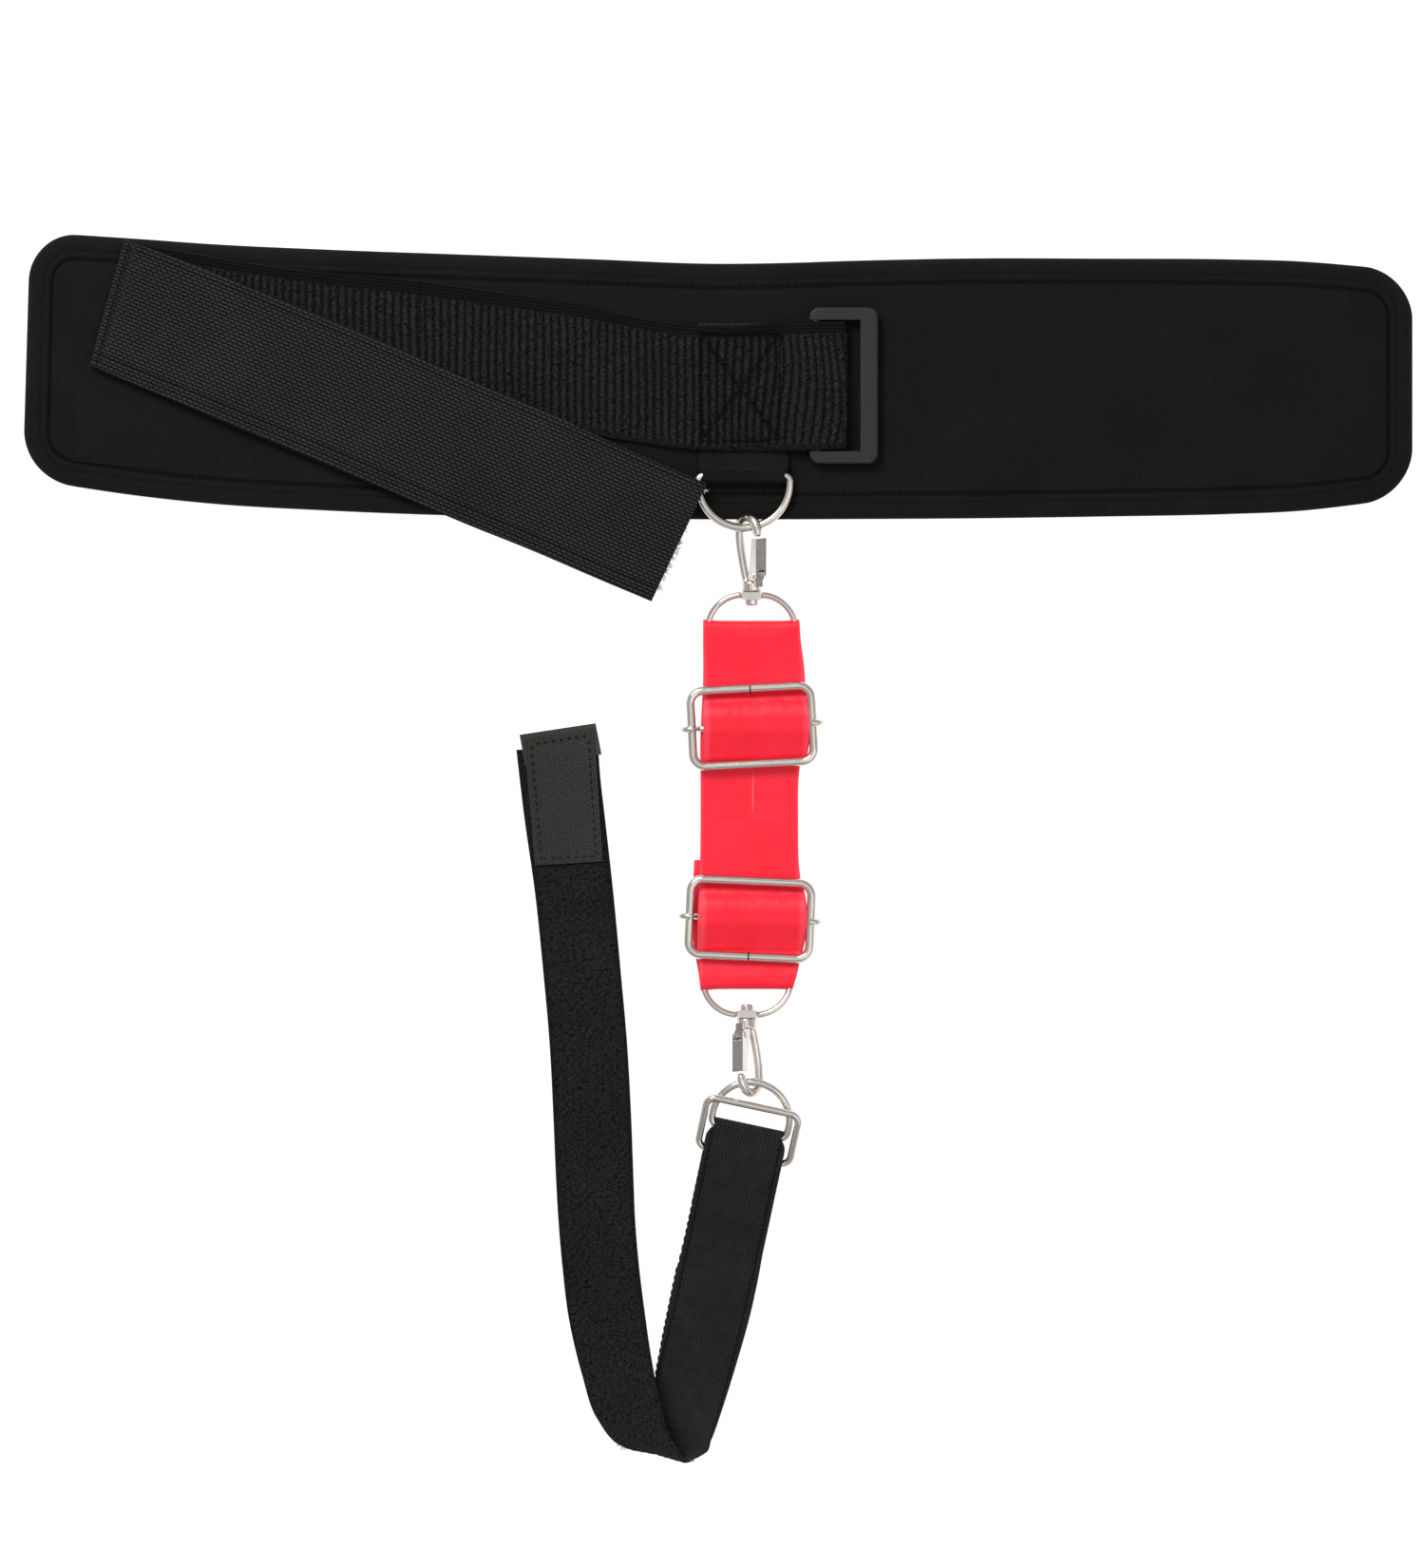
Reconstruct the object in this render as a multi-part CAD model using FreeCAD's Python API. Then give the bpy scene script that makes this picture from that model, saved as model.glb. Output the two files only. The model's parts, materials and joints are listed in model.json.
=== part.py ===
import FreeCAD, Part
import math
import os

# Gait belt with a hanging leg-assist line, laid flat.
# Millimetres. +X to the right along the waist pad, +Y across it, +Z up from the table.
# The origin is the middle of the pad's inner face, which lies on the plane z = 0.

V = FreeCAD.Vector
X_AXIS = V(1, 0, 0)
Y_AXIS = V(0, 1, 0)
Z_AXIS = V(0, 0, 1)
GAP = 0.1  # clearance left between soft parts that lie against one another

# Waist pad
PAD_LENGTH = 540.0
PAD_THICKNESS = 6.0
PAD_HALF_WIDTH = 49.8
PAD_EDGE_ROUND = 2.6
PAD_CORNER_ROUND = 16.0
PAD_END_TAPER = 2.5
PAD_BOW_START = -40.0
PAD_BOW = 2.4e-4
PAD_BENDS = (-170.0, -62.0, 66.0, 170.0)
PAD_STATIONS = (-270.0, -225.0, -180.0, -110.0, -40.0, 60.0, 150.0, 220.0, 270.0)
BEND_SLIT = 0.3
POCKET_LOW = V(-8.5, -31.4, 3.4)  # shallow pocket in the pad that takes the ends of the ring tab
POCKET_HIGH = V(27.5, -21.0, 7.0)

# Closure strap
STRAP_WIDTH = 50.0
STRAP_THICKNESS = 1.4
LOWER_LAYER_Z = 6.9
UPPER_LAYER_Z = 9.6
UPPER_THICKNESS = 1.6
UPPER_ANGLE = -22.8
UPPER_LENGTH = 240.3
TIP_RISE = 2.6
TIP_RISE_LENGTH = 45.0
FOLD_MIDDLE = V(-238.15, 32.6, 0)
FOLD_ANGLE = 76.1
FOLD_REACH = 3.0
FOLD_UPPER_REACH = 2.2
LOWER_TOP_EDGE = ((-232.2, 56.7), (-169.3, 46.3), (-113.7, 41.0), (-58.1, 32.6), (-6.3, 23.3), (32.0, 25.3))
LOWER_BOTTOM_EDGE = ((-244.1, 8.5), (-170.0, -2.4), (-58.1, -17.6), (-6.3, -24.8), (32.0, -24.6))
TIP_FLAT_LENGTH = 14.0
PATCH_LENGTH = 60.0
PATCH_THICKNESS = 0.7
PATCH_SETBACK = 4.0
PATCH_MARGIN = 2.0

# Reinforcing panel under the fold at the left end of the pad
PANEL_LEFT = -255.0
PANEL_RIGHT = -212.0
PANEL_TOP = 2.0
PANEL_BOTTOM = -27.0
PANEL_THICKNESS = 0.6
PANEL_CORNER = 2.0

# Plastic loop that the closure strap passes through
LOOP_LEFT = 35.0
LOOP_RIGHT = 61.8
LOOP_TOP = 30.7
LOOP_BOTTOM = -30.0
LOOP_END_BAR = 4.8
LOOP_RIGHT_BAR = 6.9
LOOP_THICKNESS = 3.6
LOOP_CORNER = 4.0
LOOP_EDGE_ROUND = 0.9
LOOP_PIN_RADIUS = 1.75
LOOP_PIN_INSET = 2.6
LOOP_Z = 9.35
LOOP_FOLD_EDGE = 50.7

# Webbing tab and the D-ring on the belt
TAB_LEFT = -8.0
TAB_WIDTH = 35.0
WEBBING_THICKNESS = 1.15
RING_WIRE = 1.6
RING_RADIUS = 17.9
RING_LEG = 2.4
RING_BAR = V(9.6, -34.6, 8.9)
RING_TILT = 3.5

# Swivel hooks
HOOK_WIRE = 1.8
HOOK_ROLL = 50.0
HOOK_TILT = 9.2
EYE_OFFSET = -2.0
EYE_RADIUS = 5.4
EYE_TOP = 23.2
RING_SEAT = 24.4
BOSS_RADIUS = 4.0
BOSS_LENGTH = 4.2
STEM_RADIUS = 1.7
STEM_HOLE = 1.75
STEM_HEAD_RADIUS = 2.7
STEM_HEAD_LENGTH = 2.4
EYELET_RADIUS = 4.7
EYELET_THICKNESS = 3.0
EYELET_HALF_HEIGHT = 3.1
GATE_PIVOT = V(3.4, 6.5, 0)
GATE_SHEET = 0.7
GATE_END = 21.0
GATE_WEB_OFFSET = 1.6
GATE_PLAY = 0.15
LUG_THICKNESS = 3.6
PIN_RADIUS = 0.8
PIN_PLAY = 0.03
PIN_HEAD_RADIUS = 1.15
PIN_HEAD_LENGTH = 0.4
SPRING_THICKNESS = 0.35
SPRING_WIDTH = 2.6

# Wire bails between hook and band
BAIL_WIRE = 1.3
BAIL_HALF_WIDTH = 16.8
BAIL_CORNER = 1.7
BAIL_BAR = 14.0
BAIL_SHOULDER_IN = 3.4
BAIL_SHOULDER_UP = 8.0

# Elastic leg band
BAND_WIDTH = 38.0
BAND_THICKNESS = 1.3
BAND_X = 12.6
BAND_BAR_Z = 3.0
BAND_MIDDLE_Y = -169.0
BAND_MIDDLE_HALF = 3.0
BAND_FRONT_Z = 2.45
LOOP_REACH = 10.0
LOOP_RAMP_FOOT = 7.5
LOOP_RAMP_TOP = 2.0
UPPER_RETURN_END = -150.0
LOWER_RETURN_END = -184.5
BEND_GAP = 0.6

# Sliding-bar adjusters
SLIDER_WIRE = 1.75
SLIDER_HALF_LENGTH = 23.6
SLIDER_HALF_HEIGHT = 14.75
SLIDER_CORNER = 5.0
SLIDER_Z = 6.3
SLIDER_BAR_RADIUS = 1.25
SLIDER_BAR_Z = 4.5
UPPER_SLIDER = V(12.8, -131.9, 0)
UPPER_SLIDER_TURN = 3.0
LOWER_SLIDER = V(12.0, -206.9, 0)
LOWER_SLIDER_TURN = -2.5
BULGE_FOOT = 16.0
BULGE_RAMP = 9.0
BULGE_CREST = 3.0
BULGE_THICKNESS = 1.0

# Ankle strap with its two rings
ANKLE_BAR = V(11.3, -289.7, 3.3)
ANKLE_TURN = -12.0
ANKLE_RING_WIRE = 1.5
ANKLE_RING_RADIUS = 15.1
ANKLE_RING_LEG = 5.0
ANKLE_RING_TILT = 13.2
RECT_WIRE = 1.4
RECT_HALF_WIDTH = 18.3
RECT_HEIGHT = 21.0
RECT_CORNER = 3.6
RECT_BAR_DROP = 9.6
RECT_TILT = 18.0
ANKLE_WIDTH = 30.5
ANKLE_THICKNESS = 1.3
RUN_LENGTH = 58.0
RETURN_END = -32.0
FREE_START = V(-44.8, -346.3, 0)
FREE_TURN = 4.85
FREE_LENGTH = 209.5
FREE_SPLIT = 100.0
FREE_THICKNESS = 1.8
FREE_LIFT = 0.3
FREE_TIP_GAP = 0.8
FREE_TIP_CORNER = 3.0
ANKLE_PATCH_LENGTH = 47.0
ANKLE_PATCH_THICKNESS = 1.0
ANKLE_PATCH_INSET = 0.4
LOWER_SEAT_BEARING = 91.0
# The two edges of the ankle webbing where it leans up on edge, turns at its foot and lies down again.
RUN_SIDE = (
    (V(-19.6, -358.0, 0.95), V(11.2, -364.4, 1.8)),
    (V(-22.8, -373.5, 0.95), V(6.7, -380.7, 4.2)),
    (V(-24.8, -388.0, 0.95), V(1.6, -397.0, 9.5)),
    (V(-23.6, -402.0, 0.95), V(-3.0, -408.6, 18.5)),
    (V(-18.5, -411.5, 0.95), V(-6.6, -414.0, 24.0)),
)
FOOT = (V(-13.5, -417.0, 0.9), V(-11.0, -416.0, 25.5))
FREE_SIDE = (
    (V(-25.7, -415.2, 0.95), V(-14.5, -413.4, 24.3)),
    (V(-37.5, -411.6, 0.95), V(-18.8, -407.7, 21.0)),
    (V(-46.6, -401.0, 0.95), V(-22.2, -396.6, 15.5)),
    (V(-52.8, -382.7, 0.95), V(-25.0, -384.1, 11.0)),
    (V(-56.9, -368.0, 1.0), V(-27.6, -368.5, 5.5)),
)


def line(start, end):
    return Part.LineSegment(start, end).toShape()


def arc(start, middle, end):
    return Part.Arc(start, middle, end).toShape()


def bent_path(corners, shift, place):
    """Lines and arcs through the corners (a, b, bend radius).

    The path is moved sideways by shift and laid in space by place.
    """
    points = [V(a, b, 0) for a, b, radius in corners]
    radii = [radius for a, b, radius in corners]
    ways = [(points[i + 1] - points[i]).normalize() for i in range(len(points) - 1)]
    sides = [V(-way.y, way.x, 0) for way in ways]
    edges = []
    last = points[0] + sides[0] * shift
    for i in range(1, len(points) - 1):
        turn = ways[i - 1].getAngle(ways[i])
        left = ways[i - 1].cross(ways[i]).z > 0
        side = 1 if left else -1
        reach = radii[i] * math.tan(turn / 2)
        centre = points[i] - ways[i - 1] * reach + sides[i - 1] * (side * radii[i])
        shifted = radii[i] - side * shift
        start = centre - sides[i - 1] * (side * shifted)
        end = centre - sides[i] * (side * shifted)
        middle = centre + (points[i] - centre).normalize() * shifted
        if last.distanceToPoint(start) > 1e-4:
            edges.append(line(place(last), place(start)))
        edges.append(arc(place(start), place(middle), place(end)))
        last = end
    finish = points[-1] + sides[-1] * shift
    edges.append(line(place(last), place(finish)))
    return edges


def along_x(x):
    """A path drawn as (y, z) standing at the given x."""
    return lambda p: V(x, p.x, p.y)


def along_y(y):
    """A path drawn as (x, z) standing at the given y."""
    return lambda p: V(p.x, y, p.y)


def ribbon(corners, thickness, place, across):
    """A strap of even thickness that follows the corners and is as wide as the vector across."""
    one = Part.Wire(bent_path(corners, thickness / 2, place))
    other = Part.Wire(bent_path(corners, -thickness / 2, place))
    first = line(other.OrderedVertexes[0].Point, one.OrderedVertexes[0].Point)
    last = line(one.OrderedVertexes[-1].Point, other.OrderedVertexes[-1].Point)
    outline = Part.Wire(Part.__sortEdges__(one.Edges + other.Edges + [first, last]))
    return Part.Face(outline).extrude(across)


def wire_part(edges, radius):
    """Round wire bent along the edges."""
    path = Part.Wire(edges)
    first = path.OrderedEdges[0]
    start = first.valueAt(first.FirstParameter)
    heading = first.tangentAt(first.FirstParameter)
    section = Part.Wire([Part.makeCircle(radius, start, heading)])
    return outward(path.makePipeShell([section], True, False))


def outward(solid):
    """The same solid with its faces looking outward."""
    return solid.reversed() if solid.Volume < 0 else solid


def prism(outline, low, high):
    """An upright solid over the closed outline of (x, y) points."""
    points = [V(x, y, low) for x, y in outline]
    return Part.Face(Part.makePolygon(points + points[:1])).extrude(V(0, 0, high - low))


def box(low, high):
    """A block between two opposite corners."""
    return Part.makeBox(high.x - low.x, high.y - low.y, high.z - low.z, low)


def slab_x(left, right):
    """Everything between two planes of constant x."""
    return box(V(left, -500, -50), V(right, 200, 100))


def fillet_edges(solid, radius, wanted):
    """The solid with the wanted edges rounded."""
    return solid.makeFillet(radius, [edge for edge in solid.Edges if wanted(edge)])


def pad_edge_y(x, side):
    """Edge of the pad: it bows upward toward its left end and narrows a little at both ends."""
    bow = PAD_BOW * (x - PAD_BOW_START) ** 2 if x < PAD_BOW_START else 0.0
    taper = PAD_END_TAPER * (2 * x / PAD_LENGTH) ** 4
    return bow + side * (PAD_HALF_WIDTH - taper)


def whole_pad():
    """The waist pad in one length, with rounded corners and edges."""
    upper = Part.BSplineCurve()
    upper.interpolate([V(x, pad_edge_y(x, 1), 0) for x in PAD_STATIONS])
    lower = Part.BSplineCurve()
    lower.interpolate([V(x, pad_edge_y(x, -1), 0) for x in PAD_STATIONS])
    left = line(lower.StartPoint, upper.StartPoint)
    right = line(lower.EndPoint, upper.EndPoint)
    edges = [upper.toShape(), lower.toShape(), left, right]
    pad = Part.Face(Part.Wire(Part.__sortEdges__(edges))).extrude(V(0, 0, PAD_THICKNESS))
    pad = fillet_edges(pad, PAD_CORNER_ROUND, lambda e: e.BoundBox.ZLength > PAD_THICKNESS / 2)
    pad = fillet_edges(pad, PAD_EDGE_ROUND, lambda e: e.BoundBox.ZLength < PAD_THICKNESS / 2)
    return pad.cut(box(POCKET_LOW, POCKET_HIGH))


def pad_pieces():
    """The pad in five lengths that bend against one another."""
    pad = whole_pad()
    cuts = [-300.0] + list(PAD_BENDS) + [300.0]
    names = ["pad_left_end", "pad_left_middle", "pad_centre", "pad_right_middle", "pad_right_end"]
    pieces = {}
    for name, left, right in zip(names, cuts[:-1], cuts[1:]):
        pieces[name] = pad.common(slab_x(left + BEND_SLIT / 2, right - BEND_SLIT / 2))
    return pieces


def lower_layer_plan(low, high):
    """Plan shape of the loop-faced layer that lies along the pad."""
    top = list(LOWER_TOP_EDGE) + [(LOOP_FOLD_EDGE + 2, LOWER_TOP_EDGE[-1][1])]
    bottom = list(LOWER_BOTTOM_EDGE) + [(LOOP_FOLD_EDGE + 2, LOWER_BOTTOM_EDGE[-1][1])]
    return prism(top + bottom[::-1], low, high)


def left_of_fold():
    """Everything to the left of the fold line, with the middle of the fold at the origin."""
    block = box(V(-60, -60, 0), V(FOLD_REACH + GAP, 60, 30))
    block.rotate(V(0, 0, 0), Z_AXIS, FOLD_ANGLE - 90)
    return block


def lower_layer_runs():
    """The loop-faced layer between the left fold and the sewn end, in two lengths."""
    low = LOWER_LAYER_Z - STRAP_THICKNESS / 2
    layer = lower_layer_plan(low, low + STRAP_THICKNESS)
    end = layer.cut(left_of_fold().translate(FOLD_MIDDLE)).common(slab_x(-300, PAD_BENDS[0] - BEND_SLIT / 2))
    middle = layer.common(slab_x(PAD_BENDS[0] + BEND_SLIT / 2, PAD_BENDS[1] - BEND_SLIT / 2))
    return {"closure_strap_end_run": end, "closure_strap_middle_run": middle}


def closure_anchor():
    """The sewn end of the closure strap: along the pad, over the plastic loop's bar and back under."""
    over = LOOP_Z + LOOP_PIN_RADIUS + 0.15 + STRAP_THICKNESS / 2
    under = PAD_THICKNESS + GAP + STRAP_THICKNESS / 2
    fold = (over - under) / 2
    edge = LOOP_FOLD_EDGE - STRAP_THICKNESS / 2
    sewn = under + STRAP_THICKNESS + GAP
    corners = [(PAD_BENDS[1] + BEND_SLIT / 2, LOWER_LAYER_Z, 0), (-24, LOWER_LAYER_Z, 20), (-10, sewn, 20),
               (25, sewn, 8), (34, over, 8), (edge, over, fold), (edge, under, fold), (-8, under, 0)]
    strap = ribbon(corners, STRAP_THICKNESS, along_y(-40), V(0, 80, 0))
    return strap.common(lower_layer_plan(0, 20))


def end_fold():
    """The turn where the strap doubles back at the left end of the pad."""
    rise = (UPPER_LAYER_Z - LOWER_LAYER_Z) / 2
    corners = [(FOLD_REACH, LOWER_LAYER_Z, 0), (-rise, LOWER_LAYER_Z, rise),
               (-rise, UPPER_LAYER_Z, rise), (FOLD_UPPER_REACH, UPPER_LAYER_Z, 0)]
    fold = ribbon(corners, STRAP_THICKNESS, along_y(-STRAP_WIDTH / 2), V(0, STRAP_WIDTH - 0.6, 0))
    fold.rotate(V(0, 0, 0), Z_AXIS, FOLD_ANGLE - 90)
    fold.translate(FOLD_MIDDLE)
    return fold


def upper_layer():
    """The free half of the closure strap, rising at its tip over the D-ring."""
    start_rise = UPPER_LENGTH - TIP_RISE_LENGTH
    end_rise = UPPER_LENGTH - TIP_FLAT_LENGTH
    tip_z = UPPER_LAYER_Z + TIP_RISE
    corners = [(-20, UPPER_LAYER_Z, 0), (start_rise, UPPER_LAYER_Z, 60), (end_rise, tip_z, 40),
               (UPPER_LENGTH, tip_z, 0)]
    width = STRAP_WIDTH - 0.4
    strap = ribbon(corners, UPPER_THICKNESS, along_y(-STRAP_WIDTH / 2), V(0, width, 0))
    patch_z = UPPER_LAYER_Z - UPPER_THICKNESS / 2 - PATCH_THICKNESS / 2 - 0.05
    patch_tip_z = patch_z + TIP_RISE
    patch_corners = [(UPPER_LENGTH - PATCH_LENGTH, patch_z, 0), (start_rise, patch_z, 60),
                     (end_rise, patch_tip_z, 40), (UPPER_LENGTH - PATCH_SETBACK, patch_tip_z, 0)]
    patch = ribbon(patch_corners, PATCH_THICKNESS, along_y(PATCH_MARGIN - STRAP_WIDTH / 2),
                   V(0, width - 2 * PATCH_MARGIN, 0))
    for shape in (strap, patch):
        shape.rotate(V(0, 0, 0), Z_AXIS, UPPER_ANGLE)
    strap = strap.cut(left_of_fold())
    strap.translate(FOLD_MIDDLE)
    patch.translate(FOLD_MIDDLE)
    end = strap.common(slab_x(-300, PAD_BENDS[0] - BEND_SLIT / 2))
    middle = strap.common(slab_x(PAD_BENDS[0] + BEND_SLIT / 2, PAD_BENDS[1] - BEND_SLIT / 2))
    tip = strap.common(slab_x(PAD_BENDS[1] + BEND_SLIT / 2, 50))
    patch = patch.common(slab_x(PAD_BENDS[1] + BEND_SLIT / 2, 50))
    return {"closure_strap_upper_run": end, "closure_strap_upper_middle": middle,
            "closure_strap_tip": tip, "closure_hook_patch": patch}


def end_panel():
    """The stitched reinforcing panel under the fold at the left end of the pad."""
    low = PAD_THICKNESS + GAP / 2
    panel = box(V(PANEL_LEFT, PANEL_BOTTOM, low), V(PANEL_RIGHT, PANEL_TOP, low + PANEL_THICKNESS))
    return fillet_edges(panel, PANEL_CORNER, lambda e: e.BoundBox.ZLength > PANEL_THICKNESS / 2)


def closure_loop():
    """Moulded loop: flat bars on three sides and a round bar inside the strap fold."""
    outer = box(V(LOOP_LEFT, LOOP_BOTTOM, LOOP_Z - LOOP_THICKNESS / 2),
                V(LOOP_RIGHT, LOOP_TOP, LOOP_Z + LOOP_THICKNESS / 2))
    outer = fillet_edges(outer, LOOP_CORNER, lambda e: e.BoundBox.ZLength > 1)
    outer = fillet_edges(outer, LOOP_EDGE_ROUND, lambda e: e.BoundBox.ZLength < 1)
    inner = box(V(LOOP_LEFT - 5, LOOP_BOTTOM + LOOP_END_BAR, 0),
                V(LOOP_RIGHT - LOOP_RIGHT_BAR, LOOP_TOP - LOOP_END_BAR, 30))
    frame = outer.cut(inner)
    bar = Part.makeCylinder(LOOP_PIN_RADIUS, LOOP_TOP - LOOP_BOTTOM - 4,
                            V(LOOP_LEFT + LOOP_PIN_INSET, LOOP_BOTTOM + 2, LOOP_Z), Y_AXIS)
    return frame.fuse(bar).removeSplitter()


def ring_tab():
    """Webbing folded round the D-ring's bar; its ends go under the closure strap."""
    low = PAD_THICKNESS + GAP + WEBBING_THICKNESS / 2
    wrap = RING_BAR.z - low
    bar_y = RING_BAR.y
    under = 3.6 + WEBBING_THICKNESS / 2
    above = under + WEBBING_THICKNESS + 0.05
    corners = [(-21.6, under, 0), (-28.0, under, 2), (-31.2, low, 2), (bar_y - wrap, low, wrap),
               (bar_y - wrap, RING_BAR.z + wrap, wrap), (bar_y + 1.9, RING_BAR.z + wrap, 2),
               (-25.8, above, 2), (-21.6, above, 0)]
    tab = ribbon(corners, WEBBING_THICKNESS, along_x(TAB_LEFT), V(TAB_WIDTH, 0, 0))
    straight = RING_RADIUS - RING_LEG - 0.2
    for side in (-1, 1):
        near = RING_BAR.x + side * straight
        far = RING_BAR.x + side * 30
        tab = tab.cut(box(V(min(near, far), bar_y - 4, 0), V(max(near, far), bar_y + 2.2, 20)))
    return tab


def d_ring(radius, leg, wire):
    """D-ring lying flat with the middle of its bar at the origin and its crown toward -Y."""
    corner = min(leg, 3.0)
    inset = corner * (1 - math.sqrt(0.5))
    bar_end = radius - corner
    bend = radius - inset
    edges = [line(V(-bar_end, 0, 0), V(bar_end, 0, 0)),
             arc(V(bar_end, 0, 0), V(bend, -inset, 0), V(radius, -corner, 0))]
    if leg > corner:
        edges.append(line(V(radius, -corner, 0), V(radius, -leg, 0)))
    edges.append(arc(V(radius, -leg, 0), V(0, -leg - radius, 0), V(-radius, -leg, 0)))
    if leg > corner:
        edges.append(line(V(-radius, -leg, 0), V(-radius, -corner, 0)))
    edges.append(arc(V(-radius, -corner, 0), V(-bend, -inset, 0), V(-bar_end, 0, 0)))
    return wire_part(edges, wire)


def belt_ring():
    ring = d_ring(RING_RADIUS, RING_LEG, RING_WIRE)
    ring.rotate(V(0, 0, 0), X_AXIS, RING_TILT)
    ring.translate(RING_BAR)
    return ring


def hook_body():
    """Cast hook lying flat: stem on the Y axis, neck at y = 0, nose toward +Y, gate side at +X."""
    left = EYE_OFFSET - EYE_RADIUS
    right = EYE_OFFSET + EYE_RADIUS
    eye = arc(V(left, EYE_TOP, 0), V(EYE_OFFSET, EYE_TOP + EYE_RADIUS, 0), V(right, EYE_TOP, 0))
    spine = Part.BSplineCurve()
    spine.interpolate([V(-2.2, 2.6, 0), V(-5.0, 9.5, 0), V(left, EYE_TOP, 0)],
                      InitialTangent=V(-0.7, 1, 0), FinalTangent=V(0, 1, 0))
    rod = wire_part([spine.toShape(), eye], HOOK_WIRE)
    nose = Part.makeSphere(HOOK_WIRE, V(right, EYE_TOP, 0))
    boss = Part.makeCylinder(BOSS_RADIUS, BOSS_LENGTH, V(0, 0, 0), Y_AXIS)
    boss = fillet_edges(boss, 1.0, lambda e: e.BoundBox.YLength < 0.01 and e.BoundBox.XLength > 1)
    lug = box(V(0.2, 2.0, -LUG_THICKNESS / 2), V(4.6, 8.4, LUG_THICKNESS / 2))
    lug = fillet_edges(lug, 1.6, lambda e: e.BoundBox.ZLength > 1 and e.BoundBox.YMin > 5)
    hole = Part.makeCylinder(PIN_RADIUS + PIN_PLAY, 10, GATE_PIVOT - V(0, 0, 5), Z_AXIS)
    stem = Part.makeCylinder(STEM_RADIUS, EYELET_THICKNESS + 1.6, V(0, 1.0, 0), Y_AXIS * -1)
    head_top = V(0, -EYELET_THICKNESS - 0.3, 0)
    head = Part.makeCylinder(STEM_HEAD_RADIUS, STEM_HEAD_LENGTH, head_top, Y_AXIS * -1)
    head = fillet_edges(head, 0.9, lambda e: e.BoundBox.YLength < 0.01 and e.BoundBox.YMin < -5)
    body = rod
    for piece in (nose, boss, lug, stem, head):
        body = body.fuse(piece)
    return body.cut(hole).removeSplitter()


def hook_gate():
    """Folded sheet gate: two cheeks outside the lug and a web on the outer side."""
    inner = LUG_THICKNESS / 2 + GATE_PLAY
    cheek_out = inner + GATE_SHEET
    pivot = GATE_PIVOT.x
    web = pivot + GATE_WEB_OFFSET
    back = web + GATE_SHEET
    gate = box(V(web, 9.0, -cheek_out), V(back, GATE_END, cheek_out))
    outline = [(pivot - 1.7, 5.4), (pivot - 0.6, 4.5), (pivot + 0.9, 4.5), (back, 6.4), (back, GATE_END),
               (pivot - 0.4, GATE_END), (pivot - 1.5, 11.0)]
    for low in (-cheek_out, inner):
        gate = gate.fuse(prism(outline, low, low + GATE_SHEET))
    hole = Part.makeCylinder(PIN_RADIUS + PIN_PLAY, 10, GATE_PIVOT - V(0, 0, 5), Z_AXIS)
    return gate.cut(hole).removeSplitter()


def gate_pin():
    """Headed pin through the lug and both cheeks of the gate."""
    reach = LUG_THICKNESS / 2 + GATE_PLAY + GATE_SHEET + 0.05
    pin = Part.makeCylinder(PIN_RADIUS, 2 * reach, GATE_PIVOT - V(0, 0, reach), Z_AXIS)
    for side in (-1, 1):
        start = GATE_PIVOT + V(0, 0, side * reach)
        pin = pin.fuse(Part.makeCylinder(PIN_HEAD_RADIUS, PIN_HEAD_LENGTH, start, Z_AXIS * side))
    return pin.removeSplitter()


def gate_spring():
    """Leaf spring inside the gate."""
    pivot = GATE_PIVOT.x
    corners = [(pivot + 0.3, 9.2, 0), (pivot - 0.4, 12.0, 3), (pivot + 0.9, 18.5, 0)]
    return ribbon(corners, SPRING_THICKNESS, lambda p: V(p.x, p.y, -SPRING_WIDTH / 2), V(0, 0, SPRING_WIDTH))


def bail():
    """Wire bail with an eyelet at its crown for the swivel stem and a straight bar for the band."""
    y_eye = -EYELET_THICKNESS / 2 - 0.15
    corner = BAIL_CORNER
    inset = corner * (1 - math.sqrt(0.5))
    right = BAIL_HALF_WIDTH
    low = -BAIL_BAR
    start = V(STEM_HOLE + 1.6, y_eye, 0)
    shoulder = right - BAIL_SHOULDER_IN
    shoulder_y = low + BAIL_SHOULDER_UP
    bar_end = right - corner
    bend = right - inset
    edges = [arc(start, V(shoulder, shoulder_y, 0), V(right, low + corner, 0)),
             arc(V(right, low + corner, 0), V(bend, low + inset, 0), V(bar_end, low, 0)),
             line(V(bar_end, low, 0), V(-bar_end, low, 0)),
             arc(V(-bar_end, low, 0), V(-bend, low + inset, 0), V(-right, low + corner, 0)),
             arc(V(-right, low + corner, 0), V(-shoulder, shoulder_y, 0), V(-start.x, y_eye, 0))]
    path = Part.Wire(edges)
    section = Part.Wire([Part.makeCircle(BAIL_WIRE, start, edges[0].tangentAt(edges[0].FirstParameter))])
    rod = outward(path.makePipeShell([section], True, False, 2))
    eyelet = Part.makeCylinder(EYELET_RADIUS, EYELET_THICKNESS, V(0, -0.15, 0), Y_AXIS * -1)
    eyelet = fillet_edges(eyelet, 0.7, lambda e: e.BoundBox.YLength < 0.01)
    eyelet = eyelet.common(box(V(-10, -10, -EYELET_HALF_HEIGHT), V(10, 10, EYELET_HALF_HEIGHT)))
    hole = Part.makeCylinder(STEM_HOLE, 10, V(0, 2, 0), Y_AXIS * -1)
    return rod.fuse(eyelet).cut(hole).removeSplitter()


def hook_origin(seat_point, turn):
    """Place and turn of a hook, given where its eye bears on a ring."""
    seat = FreeCAD.Rotation(Y_AXIS, -HOOK_ROLL).multVec(V(EYE_OFFSET, RING_SEAT, 0))
    rotation = FreeCAD.Rotation(Z_AXIS, turn).multiply(FreeCAD.Rotation(X_AXIS, HOOK_TILT))
    return FreeCAD.Placement(seat_point - rotation.multVec(seat), rotation)


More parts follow.
